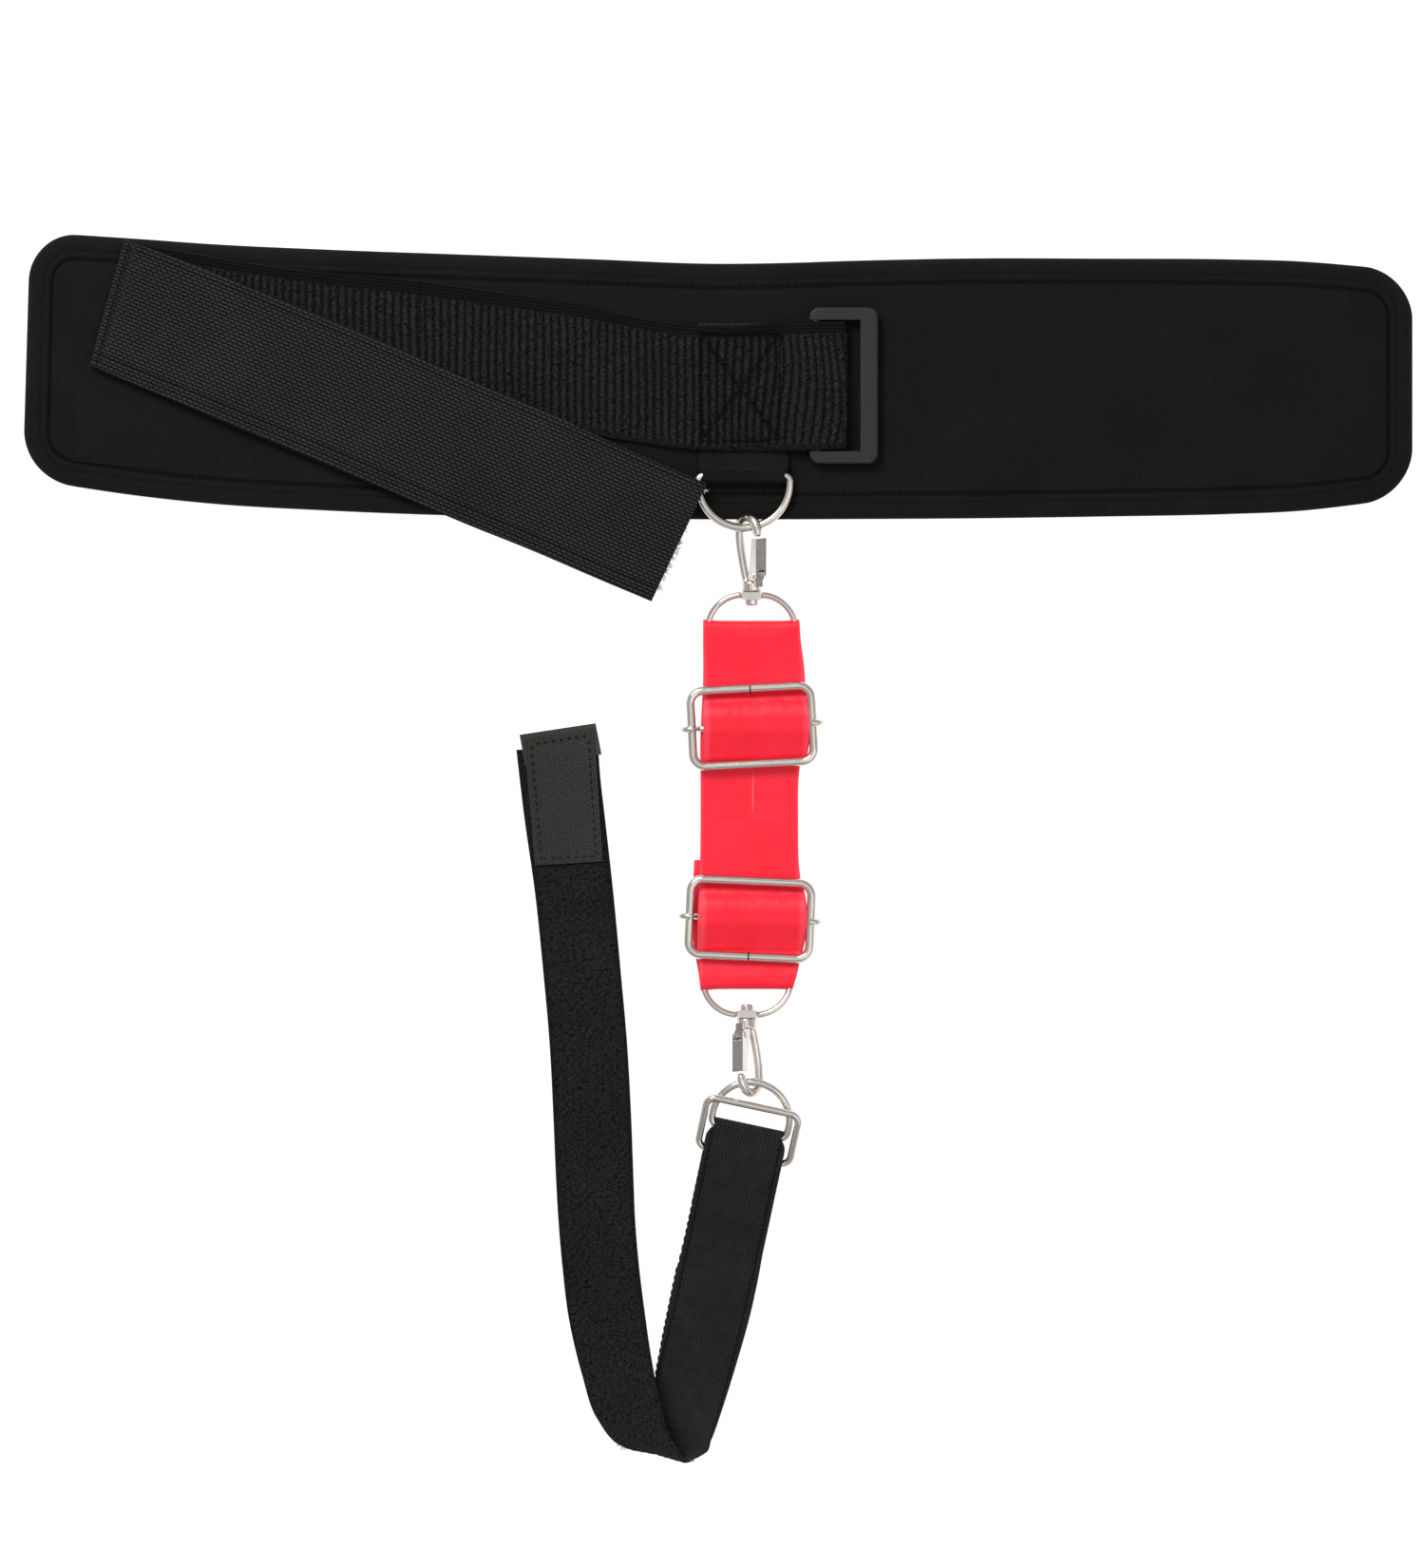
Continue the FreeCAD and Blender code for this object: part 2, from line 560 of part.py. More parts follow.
def upper_hook_origin():
    crown = RING_RADIUS + RING_LEG
    lean = math.radians(RING_TILT)
    seat_x = BAND_X + EYE_OFFSET * math.cos(math.radians(HOOK_ROLL))
    seat_y = RING_BAR.y - crown * math.cos(lean)
    return hook_origin(V(seat_x, seat_y, RING_BAR.z - crown * math.sin(lean)), 0)


def lower_hook_origin():
    lean = math.radians(ANKLE_RING_TILT)
    turn = math.radians(-ANKLE_TURN)
    along = ANKLE_RING_LEG * math.cos(lean)
    centre = ANKLE_BAR + V(math.sin(turn), math.cos(turn), 0) * along
    bearing = math.radians(LOWER_SEAT_BEARING)
    reach = ANKLE_RING_RADIUS * math.cos(lean)
    spot = centre + V(math.cos(bearing), math.sin(bearing), 0) * reach
    height = ANKLE_BAR.z + (ANKLE_RING_LEG + ANKLE_RING_RADIUS * 0.92) * math.sin(lean)
    return hook_origin(V(spot.x, spot.y, height), 180)


def place_hook_part(shape, origin, roll):
    """Rolls a hook part about its stem where asked and moves it to its place on the line."""
    if roll:
        shape.rotate(V(0, 0, 0), Y_AXIS, -HOOK_ROLL)
    shape.Placement = origin.multiply(shape.Placement)
    return shape


def bail_bar(origin):
    return origin.multVec(V(0, -BAIL_BAR, 0))


def band_loop(bar_middle, side, run_to):
    """Band doubled round a bail bar: the front layer meets the main run, the back one goes to run_to."""
    wrap = BAIL_WIRE + 0.1 + BAND_THICKNESS / 2
    bar_y = bar_middle.y
    far = bar_y + side * wrap
    ramp_top = bar_y - side * LOOP_RAMP_TOP
    corners = [(bar_y - side * LOOP_REACH, BAND_FRONT_Z, 0), (bar_y - side * LOOP_RAMP_FOOT, BAND_FRONT_Z, 6),
               (ramp_top, BAND_BAR_Z + wrap, 4), (far, BAND_BAR_Z + wrap, wrap * 0.98),
               (far, BAND_BAR_Z - wrap, wrap * 0.98), (run_to, BAND_BAR_Z - wrap, 0)]
    left = BAND_X - BAND_WIDTH / 2
    loop = ribbon(corners, BAND_THICKNESS, along_x(left), V(BAND_WIDTH, 0, 0))
    straight = BAIL_HALF_WIDTH - BAIL_CORNER - 0.1
    outer = bar_y + side * 5.0
    for reach in (-1, 1):
        near = bar_middle.x + reach * straight
        far = bar_middle.x + reach * 30
        low = V(min(near, far), min(ramp_top, outer), -5)
        loop = loop.cut(box(low, V(max(near, far), max(ramp_top, outer), 15)))
    return loop


def band_run(top, bottom):
    """A flat length of the band's front layer."""
    low = BAND_FRONT_Z - BAND_THICKNESS / 2
    left = BAND_X - BAND_WIDTH / 2
    return box(V(left, bottom, low), V(left + BAND_WIDTH, top, low + BAND_THICKNESS))


def oblong_edges(length, height, corner):
    """Outline of a rounded oblong centred on the origin, from its half length and half height."""
    inset = corner * (1 - math.sqrt(0.5))
    edges = []
    for turn in range(4):
        a, b = (length, height) if turn % 2 == 0 else (height, length)
        side = line(V(corner - a, b, 0), V(a - corner, b, 0))
        bend = arc(V(a - corner, b, 0), V(a - inset, b - inset, 0), V(a, b - corner, 0))
        for edge in (side, bend):
            edge.rotate(V(0, 0, 0), Z_AXIS, -90 * turn)
            edges.append(edge)
    return edges


def slider_frame():
    """Oblong wire frame centred on the origin."""
    edges = oblong_edges(SLIDER_HALF_LENGTH, SLIDER_HALF_HEIGHT, SLIDER_CORNER)
    return wire_part(edges, SLIDER_WIRE).translate(V(0, 0, SLIDER_Z))


def slider_bar():
    """Cross bar whose ends curl round the frame's side wires."""
    curl = SLIDER_WIRE + SLIDER_BAR_RADIUS + 0.06
    side = SLIDER_HALF_LENGTH
    low = SLIDER_Z - curl
    high = SLIDER_Z + curl
    half = [(0, SLIDER_BAR_Z, 0), (side - 3.9, SLIDER_BAR_Z, 2), (side - 2.2, low, 2),
            (side + curl, low, curl), (side + curl, high, curl), (side - 0.4, high, 0)]
    left = [(-a, b, radius) for a, b, radius in half[:0:-1]]
    edges = bent_path(left + half[1:], 0, along_y(0))
    return wire_part(edges, SLIDER_BAR_RADIUS)


def band_bulge():
    """Front layer of the band where it climbs over the slider's bar."""
    foot = BAND_FRONT_Z + BAND_THICKNESS / 2 + GAP / 2 + BULGE_THICKNESS / 2
    crest = SLIDER_BAR_Z + SLIDER_BAR_RADIUS + GAP + BULGE_THICKNESS / 2
    corners = [(-BULGE_FOOT, foot, 0), (-BULGE_RAMP, foot, 6), (-BULGE_CREST, crest, 4),
               (BULGE_CREST, crest, 4), (BULGE_RAMP, foot, 6), (BULGE_FOOT, foot, 0)]
    return ribbon(corners, BULGE_THICKNESS, along_x(-BAND_WIDTH / 2), V(BAND_WIDTH, 0, 0))


def place_slider(shape, middle, turn):
    shape.rotate(V(0, 0, 0), Z_AXIS, turn)
    shape.translate(middle)
    return shape


def band_pieces():
    """The leg band in its five lengths."""
    top_bar = bail_bar(upper_hook_origin())
    bottom_bar = bail_bar(lower_hook_origin())
    top_run = band_run(top_bar.y - LOOP_REACH - GAP, BAND_MIDDLE_Y + BAND_MIDDLE_HALF + BEND_GAP)
    bottom_run = band_run(BAND_MIDDLE_Y - BAND_MIDDLE_HALF - GAP, bottom_bar.y + LOOP_REACH + GAP)
    return {
        "leg_band_upper_loop": band_loop(top_bar, 1, UPPER_RETURN_END),
        "leg_band_upper_run": top_run,
        "leg_band_middle": band_run(BAND_MIDDLE_Y + BAND_MIDDLE_HALF, BAND_MIDDLE_Y - BAND_MIDDLE_HALF),
        "leg_band_lower_run": bottom_run,
        "leg_band_lower_loop": band_loop(bottom_bar, -1, LOWER_RETURN_END),
    }


def to_ankle(shape):
    shape.rotate(V(0, 0, 0), Z_AXIS, ANKLE_TURN)
    shape.translate(V(ANKLE_BAR.x, ANKLE_BAR.y, 0))
    return shape


def ankle_ring():
    ring = d_ring(ANKLE_RING_RADIUS, ANKLE_RING_LEG, ANKLE_RING_WIRE)
    ring.rotate(V(0, 0, 0), Z_AXIS, 180)
    ring.rotate(V(0, 0, 0), X_AXIS, ANKLE_RING_TILT)
    ring.translate(V(0, 0, ANKLE_BAR.z))
    return to_ankle(ring)


def rect_ring():
    """Oblong ring whose lower bar is held between the two layers of the ankle webbing."""
    ring = wire_part(oblong_edges(RECT_HALF_WIDTH, RECT_HEIGHT / 2, RECT_CORNER), RECT_WIRE)
    ring.translate(V(0, RECT_HEIGHT / 2, 0))
    ring.rotate(V(0, 0, 0), X_AXIS, RECT_TILT)
    ring.translate(V(0, -RECT_BAR_DROP, ANKLE_BAR.z))
    return to_ankle(ring)


def ankle_run():
    """Ankle webbing: sewn return under the rings, round the D-ring's bar and on to the bottom fold."""
    wrap = ANKLE_RING_WIRE + 0.15 + ANKLE_THICKNESS / 2
    low = ANKLE_BAR.z - wrap
    over = low + ANKLE_THICKNESS + 0.1
    crest = ANKLE_BAR.z + wrap
    corners = [(RETURN_END, low, 0), (wrap, low, wrap * 0.98), (wrap, crest, wrap * 0.98),
               (-RECT_BAR_DROP - 2.5, crest, 6), (-22.0, over, 10), (-36.0, over, 10),
               (-42.0, low, 10), (-RUN_LENGTH, low, 0)]
    strap = ribbon(corners, ANKLE_THICKNESS, along_x(-ANKLE_WIDTH / 2), V(ANKLE_WIDTH, 0, 0))
    straight = ANKLE_RING_RADIUS - 3.2
    strap = strap.cut(box(V(-30, -2.4, -5), V(-straight, 5, 15)))
    strap = strap.cut(box(V(straight, -2.4, -5), V(30, 5, 15)))
    return to_ankle(strap)


def leaning_strap(edges, thickness):
    """A strap lofted through its pairs of edge points."""
    middles = [(one + two) * 0.5 for one, two in edges]
    sections = []
    for i, (one, two) in enumerate(edges):
        along = middles[min(i + 1, len(edges) - 1)] - middles[max(i - 1, 0)]
        face = along.cross(two - one).normalize() * (thickness / 2)
        corners = [one + face, two + face, two - face, one - face]
        sections.append(Part.makePolygon(corners + corners[:1]))
    return outward(Part.makeLoft(sections, True, True))


def edge_points(middle, turn, half_width):
    """The two edge points of a strap lying flat."""
    across = V(math.cos(math.radians(turn)), math.sin(math.radians(turn)), 0) * half_width
    return (middle - across, middle + across)


def foot_gap(side):
    """The foot line moved a little along one side of the strap, leaving room for the turn."""
    step = V(0.9, 0.5, 0) if side == "run" else V(-1.2, 0.25, 0)
    return tuple(point + step for point in FOOT)


def strap_foot():
    """Run side of the foot, where the ankle webbing rises on edge."""
    heading = math.radians(ANKLE_TURN)
    drop = ANKLE_RING_WIRE + 0.15 + ANKLE_THICKNESS / 2
    end = ANKLE_BAR + V(math.sin(heading), -math.cos(heading), 0) * (RUN_LENGTH + GAP) - V(0, 0, drop)
    edges = [edge_points(end, ANKLE_TURN, ANKLE_WIDTH / 2)] + list(RUN_SIDE) + [foot_gap("run")]
    return leaning_strap(edges, ANKLE_THICKNESS)


def free_end():
    """Free half of the ankle strap, loop face up, in three lengths, with the hook patch near its tip."""
    low = FREE_THICKNESS / 2 + FREE_LIFT
    half = ANKLE_WIDTH / 2 - 0.25
    start = edge_points(FREE_START + V(0, 0, low), FREE_TURN, half)
    foot = leaning_strap([foot_gap("free")] + list(FREE_SIDE) + [start], ANKLE_THICKNESS)
    place = along_x(-half)
    across = V(half * 2, 0, 0)
    lower = ribbon([(GAP, low, 0), (FREE_SPLIT, low, 0)], FREE_THICKNESS, place, across)
    tip = ribbon([(FREE_SPLIT + FREE_TIP_GAP, low, 0), (FREE_LENGTH, low, 0)], FREE_THICKNESS, place, across)
    at_end = FREE_LENGTH - 1
    tip = fillet_edges(tip, FREE_TIP_CORNER, lambda e: e.BoundBox.ZLength > 1 and e.BoundBox.YMin > at_end)
    patch_z = low + FREE_THICKNESS / 2 + 0.55
    patch_end = FREE_LENGTH - 0.6
    patch_path = [(patch_end - ANKLE_PATCH_LENGTH, patch_z, 0), (patch_end, patch_z, 0)]
    patch = ribbon(patch_path, ANKLE_PATCH_THICKNESS, along_x(ANKLE_PATCH_INSET - half),
                   V(2 * (half - ANKLE_PATCH_INSET), 0, 0))
    for shape in (lower, tip, patch):
        shape.rotate(V(0, 0, 0), Z_AXIS, FREE_TURN)
        shape.translate(FREE_START)
    return {"ankle_strap_free_foot": foot, "ankle_strap_free_run": lower,
            "ankle_strap_tip": tip, "ankle_hook_patch": patch}


def build():
    """Every piece of the gait belt by name."""
    parts = pad_pieces()
    parts["end_panel"] = end_panel()
    parts.update(lower_layer_runs())
    parts["closure_strap_anchor"] = closure_anchor()
    parts["closure_strap_fold"] = end_fold()
    parts.update(upper_layer())
    parts["closure_loop"] = closure_loop()
    parts["d_ring_tab"] = ring_tab()
    parts["belt_d_ring"] = belt_ring()
    for level, origin in (("upper", upper_hook_origin()), ("lower", lower_hook_origin())):
        parts[level + "_hook"] = place_hook_part(hook_body(), origin, True)
        parts[level + "_hook_gate"] = place_hook_part(hook_gate(), origin, True)
        parts[level + "_gate_pin"] = place_hook_part(gate_pin(), origin, True)
        parts[level + "_gate_spring"] = place_hook_part(gate_spring(), origin, True)
        parts[level + "_bail"] = place_hook_part(bail(), origin, False)
    parts.update(band_pieces())
    sliders = (("upper", UPPER_SLIDER, UPPER_SLIDER_TURN), ("lower", LOWER_SLIDER, LOWER_SLIDER_TURN))
    for level, middle, turn in sliders:
        parts[level + "_slider_frame"] = place_slider(slider_frame(), middle, turn)
        parts[level + "_slider_bar"] = place_slider(slider_bar(), middle, turn)
        parts[level + "_band_bulge"] = band_bulge().translate(V(BAND_X, middle.y, 0))
    parts["ankle_d_ring"] = ankle_ring()
    parts["ankle_rect_ring"] = rect_ring()
    parts["ankle_strap_run"] = ankle_run()
    parts["ankle_strap_foot"] = strap_foot()
    parts.update(free_end())
    return parts


os.makedirs("parts", exist_ok=True)
for name, shape in build().items():
    if shape.ShapeType != "Solid" and len(shape.Solids) == 1:
        shape = shape.Solids[0]
    shape.exportStep("parts/" + name + ".step")
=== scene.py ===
import json
import math

import bpy
import numpy as np
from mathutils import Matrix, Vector


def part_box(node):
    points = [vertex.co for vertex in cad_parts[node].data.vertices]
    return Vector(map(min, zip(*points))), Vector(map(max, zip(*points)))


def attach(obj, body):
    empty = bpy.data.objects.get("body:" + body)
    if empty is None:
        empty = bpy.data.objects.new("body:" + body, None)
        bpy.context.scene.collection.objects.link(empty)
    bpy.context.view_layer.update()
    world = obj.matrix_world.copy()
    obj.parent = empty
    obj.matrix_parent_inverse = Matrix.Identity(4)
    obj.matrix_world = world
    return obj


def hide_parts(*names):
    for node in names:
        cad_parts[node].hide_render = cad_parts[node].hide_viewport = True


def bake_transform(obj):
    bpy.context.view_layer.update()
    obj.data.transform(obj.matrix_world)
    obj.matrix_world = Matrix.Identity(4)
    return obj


# Gait belt laid flat on a pale floor. Lengths in this script are millimetres in the part's frame: x runs
# along the belt, y across it and z up from the floor. Every mesh is scaled to metres as it is made.

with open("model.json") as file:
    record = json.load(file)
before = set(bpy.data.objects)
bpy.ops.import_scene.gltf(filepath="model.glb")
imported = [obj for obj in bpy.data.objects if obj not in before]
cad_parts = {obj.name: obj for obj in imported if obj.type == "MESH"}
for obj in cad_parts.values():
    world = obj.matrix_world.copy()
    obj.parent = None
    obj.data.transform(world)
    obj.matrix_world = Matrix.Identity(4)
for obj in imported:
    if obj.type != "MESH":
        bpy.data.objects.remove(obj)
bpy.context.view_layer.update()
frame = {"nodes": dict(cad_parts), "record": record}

MM = 0.001
UP = np.array((0.0, 0.0, 1.0))

# Where the soft pieces are parted, and where the belt starts and stops bending
LEFT_PART = -116.0
MIDDLE_PART = 2.0
RIGHT_PART = 118.0
LEFT_REST = -224.0
RIGHT_REST = 222.0
LEFT_BEND = -12.0
RIGHT_BEND = 50.0

# Pitches of the weaves, shared by the modelled relief and the materials
RIB = 3.1
ROW = 1.4
WEB_RIB = 1.55
WEB_PICK = 1.5
TAB_RIB = 1.34


# -------- curves

def spline(stations, values, at):
    """Smooth curve through the values at the stations."""
    stations = np.asarray(stations, float)
    values = np.asarray(values, float)
    slopes = np.gradient(values, stations, axis=0)
    i = np.clip(np.searchsorted(stations, at) - 1, 0, len(stations) - 2)
    width = stations[i + 1] - stations[i]
    t = (at - stations[i]) / width
    if values.ndim > 1:
        width = width[:, None]
        t = t[:, None]
    return (values[i] * (1 + 2 * t) * (1 - t) ** 2 + slopes[i] * width * t * (1 - t) ** 2
            + values[i + 1] * t * t * (3 - 2 * t) + slopes[i + 1] * width * t * t * (t - 1))


def lengths_along(points):
    """Distance from the first point to each point of a line."""
    steps = np.linalg.norm(np.diff(points, axis=0), axis=1)
    return np.concatenate(([0.0], np.cumsum(steps)))


def even(points, step):
    """The line resampled at an even spacing."""
    points = np.asarray(points, float)
    run = lengths_along(points)
    at = np.linspace(0, run[-1], max(2, int(round(run[-1] / step)) + 1))
    return np.stack([np.interp(at, run, points[:, k]) for k in range(points.shape[1])], axis=1)


def rounded(corners, step):
    """Even points along straight runs joined by arcs; each corner is (a, b, bend radius)."""
    dense = []
    for i, (a, b, radius) in enumerate(corners):
        corner = np.array((a, b), float)
        if i == 0 or i == len(corners) - 1 or radius == 0:
            dense.append(corner)
            continue
        before = corner - np.array(corners[i - 1][:2], float)
        after = np.array(corners[i + 1][:2], float) - corner
        before /= np.linalg.norm(before)
        after /= np.linalg.norm(after)
        turn = math.acos(np.clip(before @ after, -1, 1))
        side = 1 if before[0] * after[1] - before[1] * after[0] > 0 else -1
        start = corner - before * radius * math.tan(turn / 2)
        centre = start + np.array((-before[1], before[0])) * side * radius
        arm = start - centre
        for share in np.linspace(0, 1, 20):
            angle = side * turn * share
            c, s = math.cos(angle), math.sin(angle)
            dense.append(centre + np.array((arm[0] * c - arm[1] * s, arm[0] * s + arm[1] * c)))
    return even(np.array(dense), step)


def ripple(x, y, wavelength, seed, parts=7):
    """Soft irregular surface between about -1 and 1, from plane waves of random direction."""
    rng = np.random.default_rng(seed)
    total = 0.0
    for angle, phase, share in zip(rng.uniform(0, math.pi, parts), rng.uniform(0, 6.28, parts),
                                   rng.uniform(0.7, 1.5, parts)):
        number = 2 * math.pi / (wavelength * share)
        total = total + np.sin(number * (x * math.cos(angle) + y * math.sin(angle)) + phase)
    return total / 4.0


def groove(distance, width):
    """Smooth dip of depth one, centred where the distance is nought."""
    return np.exp(-(distance / width) ** 2)


def unit(values):
    """The values kept between 0 and 1."""
    return np.clip(values, 0, 1)


def waves(values, pitch):
    """Even waves between -1 and 1, with a crest at nought."""
    return np.cos(2 * math.pi * values / pitch)


def columns_of(*values):
    """One row for each point, from separate lists of its coordinates."""
    return np.stack(values, axis=1)


def heading(degrees):
    """Level direction, turned from x toward y."""
    return np.array((math.cos(math.radians(degrees)), math.sin(math.radians(degrees)), 0.0))


def turned(points, degrees, origin=(0.0, 0.0)):
    """Plan points turned about the vertical through the origin."""
    c, s, _ = heading(degrees)
    points = np.array(points, float)
    x = points[..., 0] - origin[0]
    y = points[..., 1] - origin[1]
    points[..., 0] = origin[0] + x * c - y * s
    points[..., 1] = origin[1] + x * s + y * c
    return points


def at_height(plan, height):
    """Points in space from plan points and the height of each."""
    return np.concatenate((plan, np.broadcast_to(height, len(plan))[:, None]), axis=1)


# -------- meshes

def make_mesh(name, points, faces, uv, materials, face_material=None, sharp=50.0, depth=None):
    """Smooth mesh object from millimetre points, with a UV map in millimetres and its relief as depth."""
    mesh = bpy.data.meshes.new(name)
    mesh.from_pydata((np.asarray(points) * MM).tolist(), [], faces)
    layer = mesh.uv_layers.new(name="UVMap")
    corners = np.zeros(len(mesh.loops), np.int32)
    mesh.loops.foreach_get("vertex_index", corners)
    layer.data.foreach_set("uv", np.asarray(uv, np.float32)[corners].ravel())
    for material in materials:
        mesh.materials.append(material)
    if face_material is not None:
        mesh.polygons.foreach_set("material_index", np.asarray(face_material, np.int32))
    mesh.polygons.foreach_set("use_smooth", np.ones(len(mesh.polygons), bool))
    # The relief kept as depth is what the cloth materials darken in its low places, as painted shade
    if depth is not None:
        relief = mesh.attributes.new("depth", "FLOAT", "POINT")
        relief.data.foreach_set("value", np.asarray(depth, np.float32))
    mesh.update()
    mesh.set_sharp_from_angle(angle=math.radians(sharp))
    thing = bpy.data.objects.new(name, mesh)
    bpy.context.scene.collection.objects.link(thing)
    return thing


def skin(outer, under, closed):
    """Faces over two grids of point numbers and over the end rows told to be closed.

    Also returns each face's material: 0 on the outer grid and 1 elsewhere.
    """
    t, u = outer, under
    faces = np.stack((t[:-1, :-1], t[1:, :-1], t[1:, 1:], t[:-1, 1:]), axis=-1).reshape(-1, 4).tolist()
    outer_count = len(faces)
    faces += np.stack((u[:-1, :-1], u[:-1, 1:], u[1:, 1:], u[1:, :-1]), axis=-1).reshape(-1, 4).tolist()
    for row in closed:
        for j in range(t.shape[1] - 1):
            ring = list(dict.fromkeys(int(v) for v in (t[row, j], t[row, j + 1], u[row, j + 1], u[row, j])))
            faces.append(ring if row == 0 else ring[::-1])
    return faces, (np.arange(len(faces)) >= outer_count).astype(np.int32)


# Shares of the half width where the columns crowd together over a strap's rounded edge
RIM_SHARES = np.array((0.004, 0.014, 0.03))
# How far in from the edge a strap's relief fades out
RELIEF_FADE = 0.8


def strap(name, first, second, thickness, materials, columns=40, relief=None, under_relief=None, along=None):
    """Closed strap between two edge lines, with rounded edges and a relief on its faces.

    The outer face looks along (way of the strap) x (first edge to second edge).
    """
    first = np.asarray(first, float)
    second = np.asarray(second, float)
    centre = (first + second) / 2
    half = np.linalg.norm(second - first, axis=1)[:, None] / 2
    across = (second - first) / (2 * half)
    normal = np.cross(np.gradient(centre, axis=0), across)
    normal /= np.linalg.norm(normal, axis=1)[:, None]
    if along is None:
        along = lengths_along(centre)
    rows = len(centre)
    share = np.unique(np.concatenate((np.linspace(-1, 1, columns), RIM_SHARES - 1, 1 - RIM_SHARES)))
    count = len(share)
    a = half * share[None, :]
    inward = half - np.abs(a)
    thick = np.broadcast_to(np.asarray(thickness, float), rows)[:, None]
    lift = thick / 2 * np.sqrt(1 - (1 - unit(inward / (thick / 2))) ** 2)
    fade = unit(inward / RELIEF_FADE)
    over, below = (face(along[:, None], a) * fade if face else 0 * a for face in (relief, under_relief))
    plane = centre[:, None, :] + across[:, None, :] * a[..., None]
    top = plane + normal[:, None, :] * (lift + over)[..., None]
    under = (plane - normal[:, None, :] * (lift + below)[..., None])[:, 1:-1]
    points = np.concatenate((top.reshape(-1, 3), under.reshape(-1, 3)))
    uv = np.stack(np.broadcast_arrays(along[:, None], a), axis=-1)
    uv = np.concatenate((uv.reshape(-1, 2), uv[:, 1:-1].reshape(-1, 2)))
    t = np.arange(rows * count).reshape(rows, count)
    u = t.copy()
    u[:, 1:-1] = rows * count + np.arange(rows * (count - 2)).reshape(rows, count - 2)
    faces, which = skin(t, u, (0, -1))
    depth = np.concatenate((over.ravel(), below[:, 1:-1].ravel()))
    return make_mesh(name, points, faces, uv, materials, np.minimum(which, len(materials) - 1), depth=depth)


def tube(points, radius, sides=8, taper=1.0):
    """Rings of a round thread along a line."""
    points = np.asarray(points, float)
    way = np.gradient(points, axis=0)
    way /= np.linalg.norm(way, axis=1)[:, None]
    hint = UP if abs(way[0] @ UP) < 0.9 else np.array((1.0, 0.0, 0.0))
    side = np.cross(way, hint)
    side /= np.maximum(np.linalg.norm(side, axis=1), 1e-9)[:, None]
    other = np.cross(way, side)
    turn = np.linspace(0, 2 * math.pi, sides, endpoint=False)
    size = radius * np.linspace(1, taper, len(points))[:, None, None]
    spoke = side[:, None] * np.cos(turn)[:, None] + other[:, None] * np.sin(turn)[:, None]
    return points[:, None] + size * spoke


def join_rings(name, all_rings, material, sharp=60.0):
    """One mesh from several closed tubes."""
    points, faces, uv = [], [], []
    for rings in all_rings:
        rows, sides = rings.shape[:2]
        here = len(points) + np.arange(rows * sides).reshape(rows, sides)
        after = np.roll(here, -1, axis=1)
        points += rings.reshape(-1, 3).tolist()
        run = lengths_along(rings.mean(axis=1))
        uv += [(at, k / sides) for at in run for k in range(sides)]
        faces += np.stack((here[:-1], here[1:], after[1:], after[:-1]), axis=-1).reshape(-1, 4).tolist()
        faces += [here[0].tolist(), here[-1, ::-1].tolist()]
    return make_mesh(name, points, faces, uv, [material], sharp=sharp)


# Stations along a stitch as shares of its length, with its rise and its girth there as shares of its radius
STITCH_STATIONS = np.array((-0.5, -0.36, 0.0, 0.36, 0.5))
STITCH_RISE = np.array((-0.6, -0.05, 0.15, -0.05, -0.6))
STITCH_GIRTH = np.array((0.25, 0.8, 1.0, 0.8, 0.25))[:, None, None]
# Pitch, length and radius of the stitches of each sewing
PAD_STITCH = (3.1, 2.2, 0.15)
BOX_STITCH = (2.6, 1.8, 0.13)
TAPE_STITCH = (3.05, 1.5, 0.42)


def stitch_row(line, pitch, length, radius):
    """Rings of the single stitches lying along a line."""
    run = lengths_along(line)
    rings = []
    for middle in np.arange(pitch / 2, run[-1], pitch):
        at = middle + STITCH_STATIONS * length
        centre = np.stack([np.interp(at, run, line[:, k]) for k in range(3)], axis=1)
        centre[:, 2] += STITCH_RISE * radius
        ring = tube(centre, radius, sides=6)
        centres = ring.mean(axis=1, keepdims=True)
        rings.append(centres + (ring - centres) * STITCH_GIRTH)
    return rings


def mount(piece, slot, body, *stands_for):
    """Carries a piece on one body, or for a bend between two only bakes its place into its mesh, and hides
    the CAD nodes it stands for.

    A bend is (body, other body, start, end), with the points in millimetres.
    """
    if isinstance(body, str):
        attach(piece, body)
    else:
        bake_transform(piece)
    if stands_for:
        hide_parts(*stands_for)


def bend_x(one, two, start, end):
    """A bend of the belt between two bodies over a stretch of x."""
    return one, two, (start, 0, 0), (end, 0, 0)


def bend_y(one, two, start, end):
    """A bend of the leg line between two bodies over a stretch of y."""
    return one, two, (0, start, 0), (0, end, 0)


# -------- materials

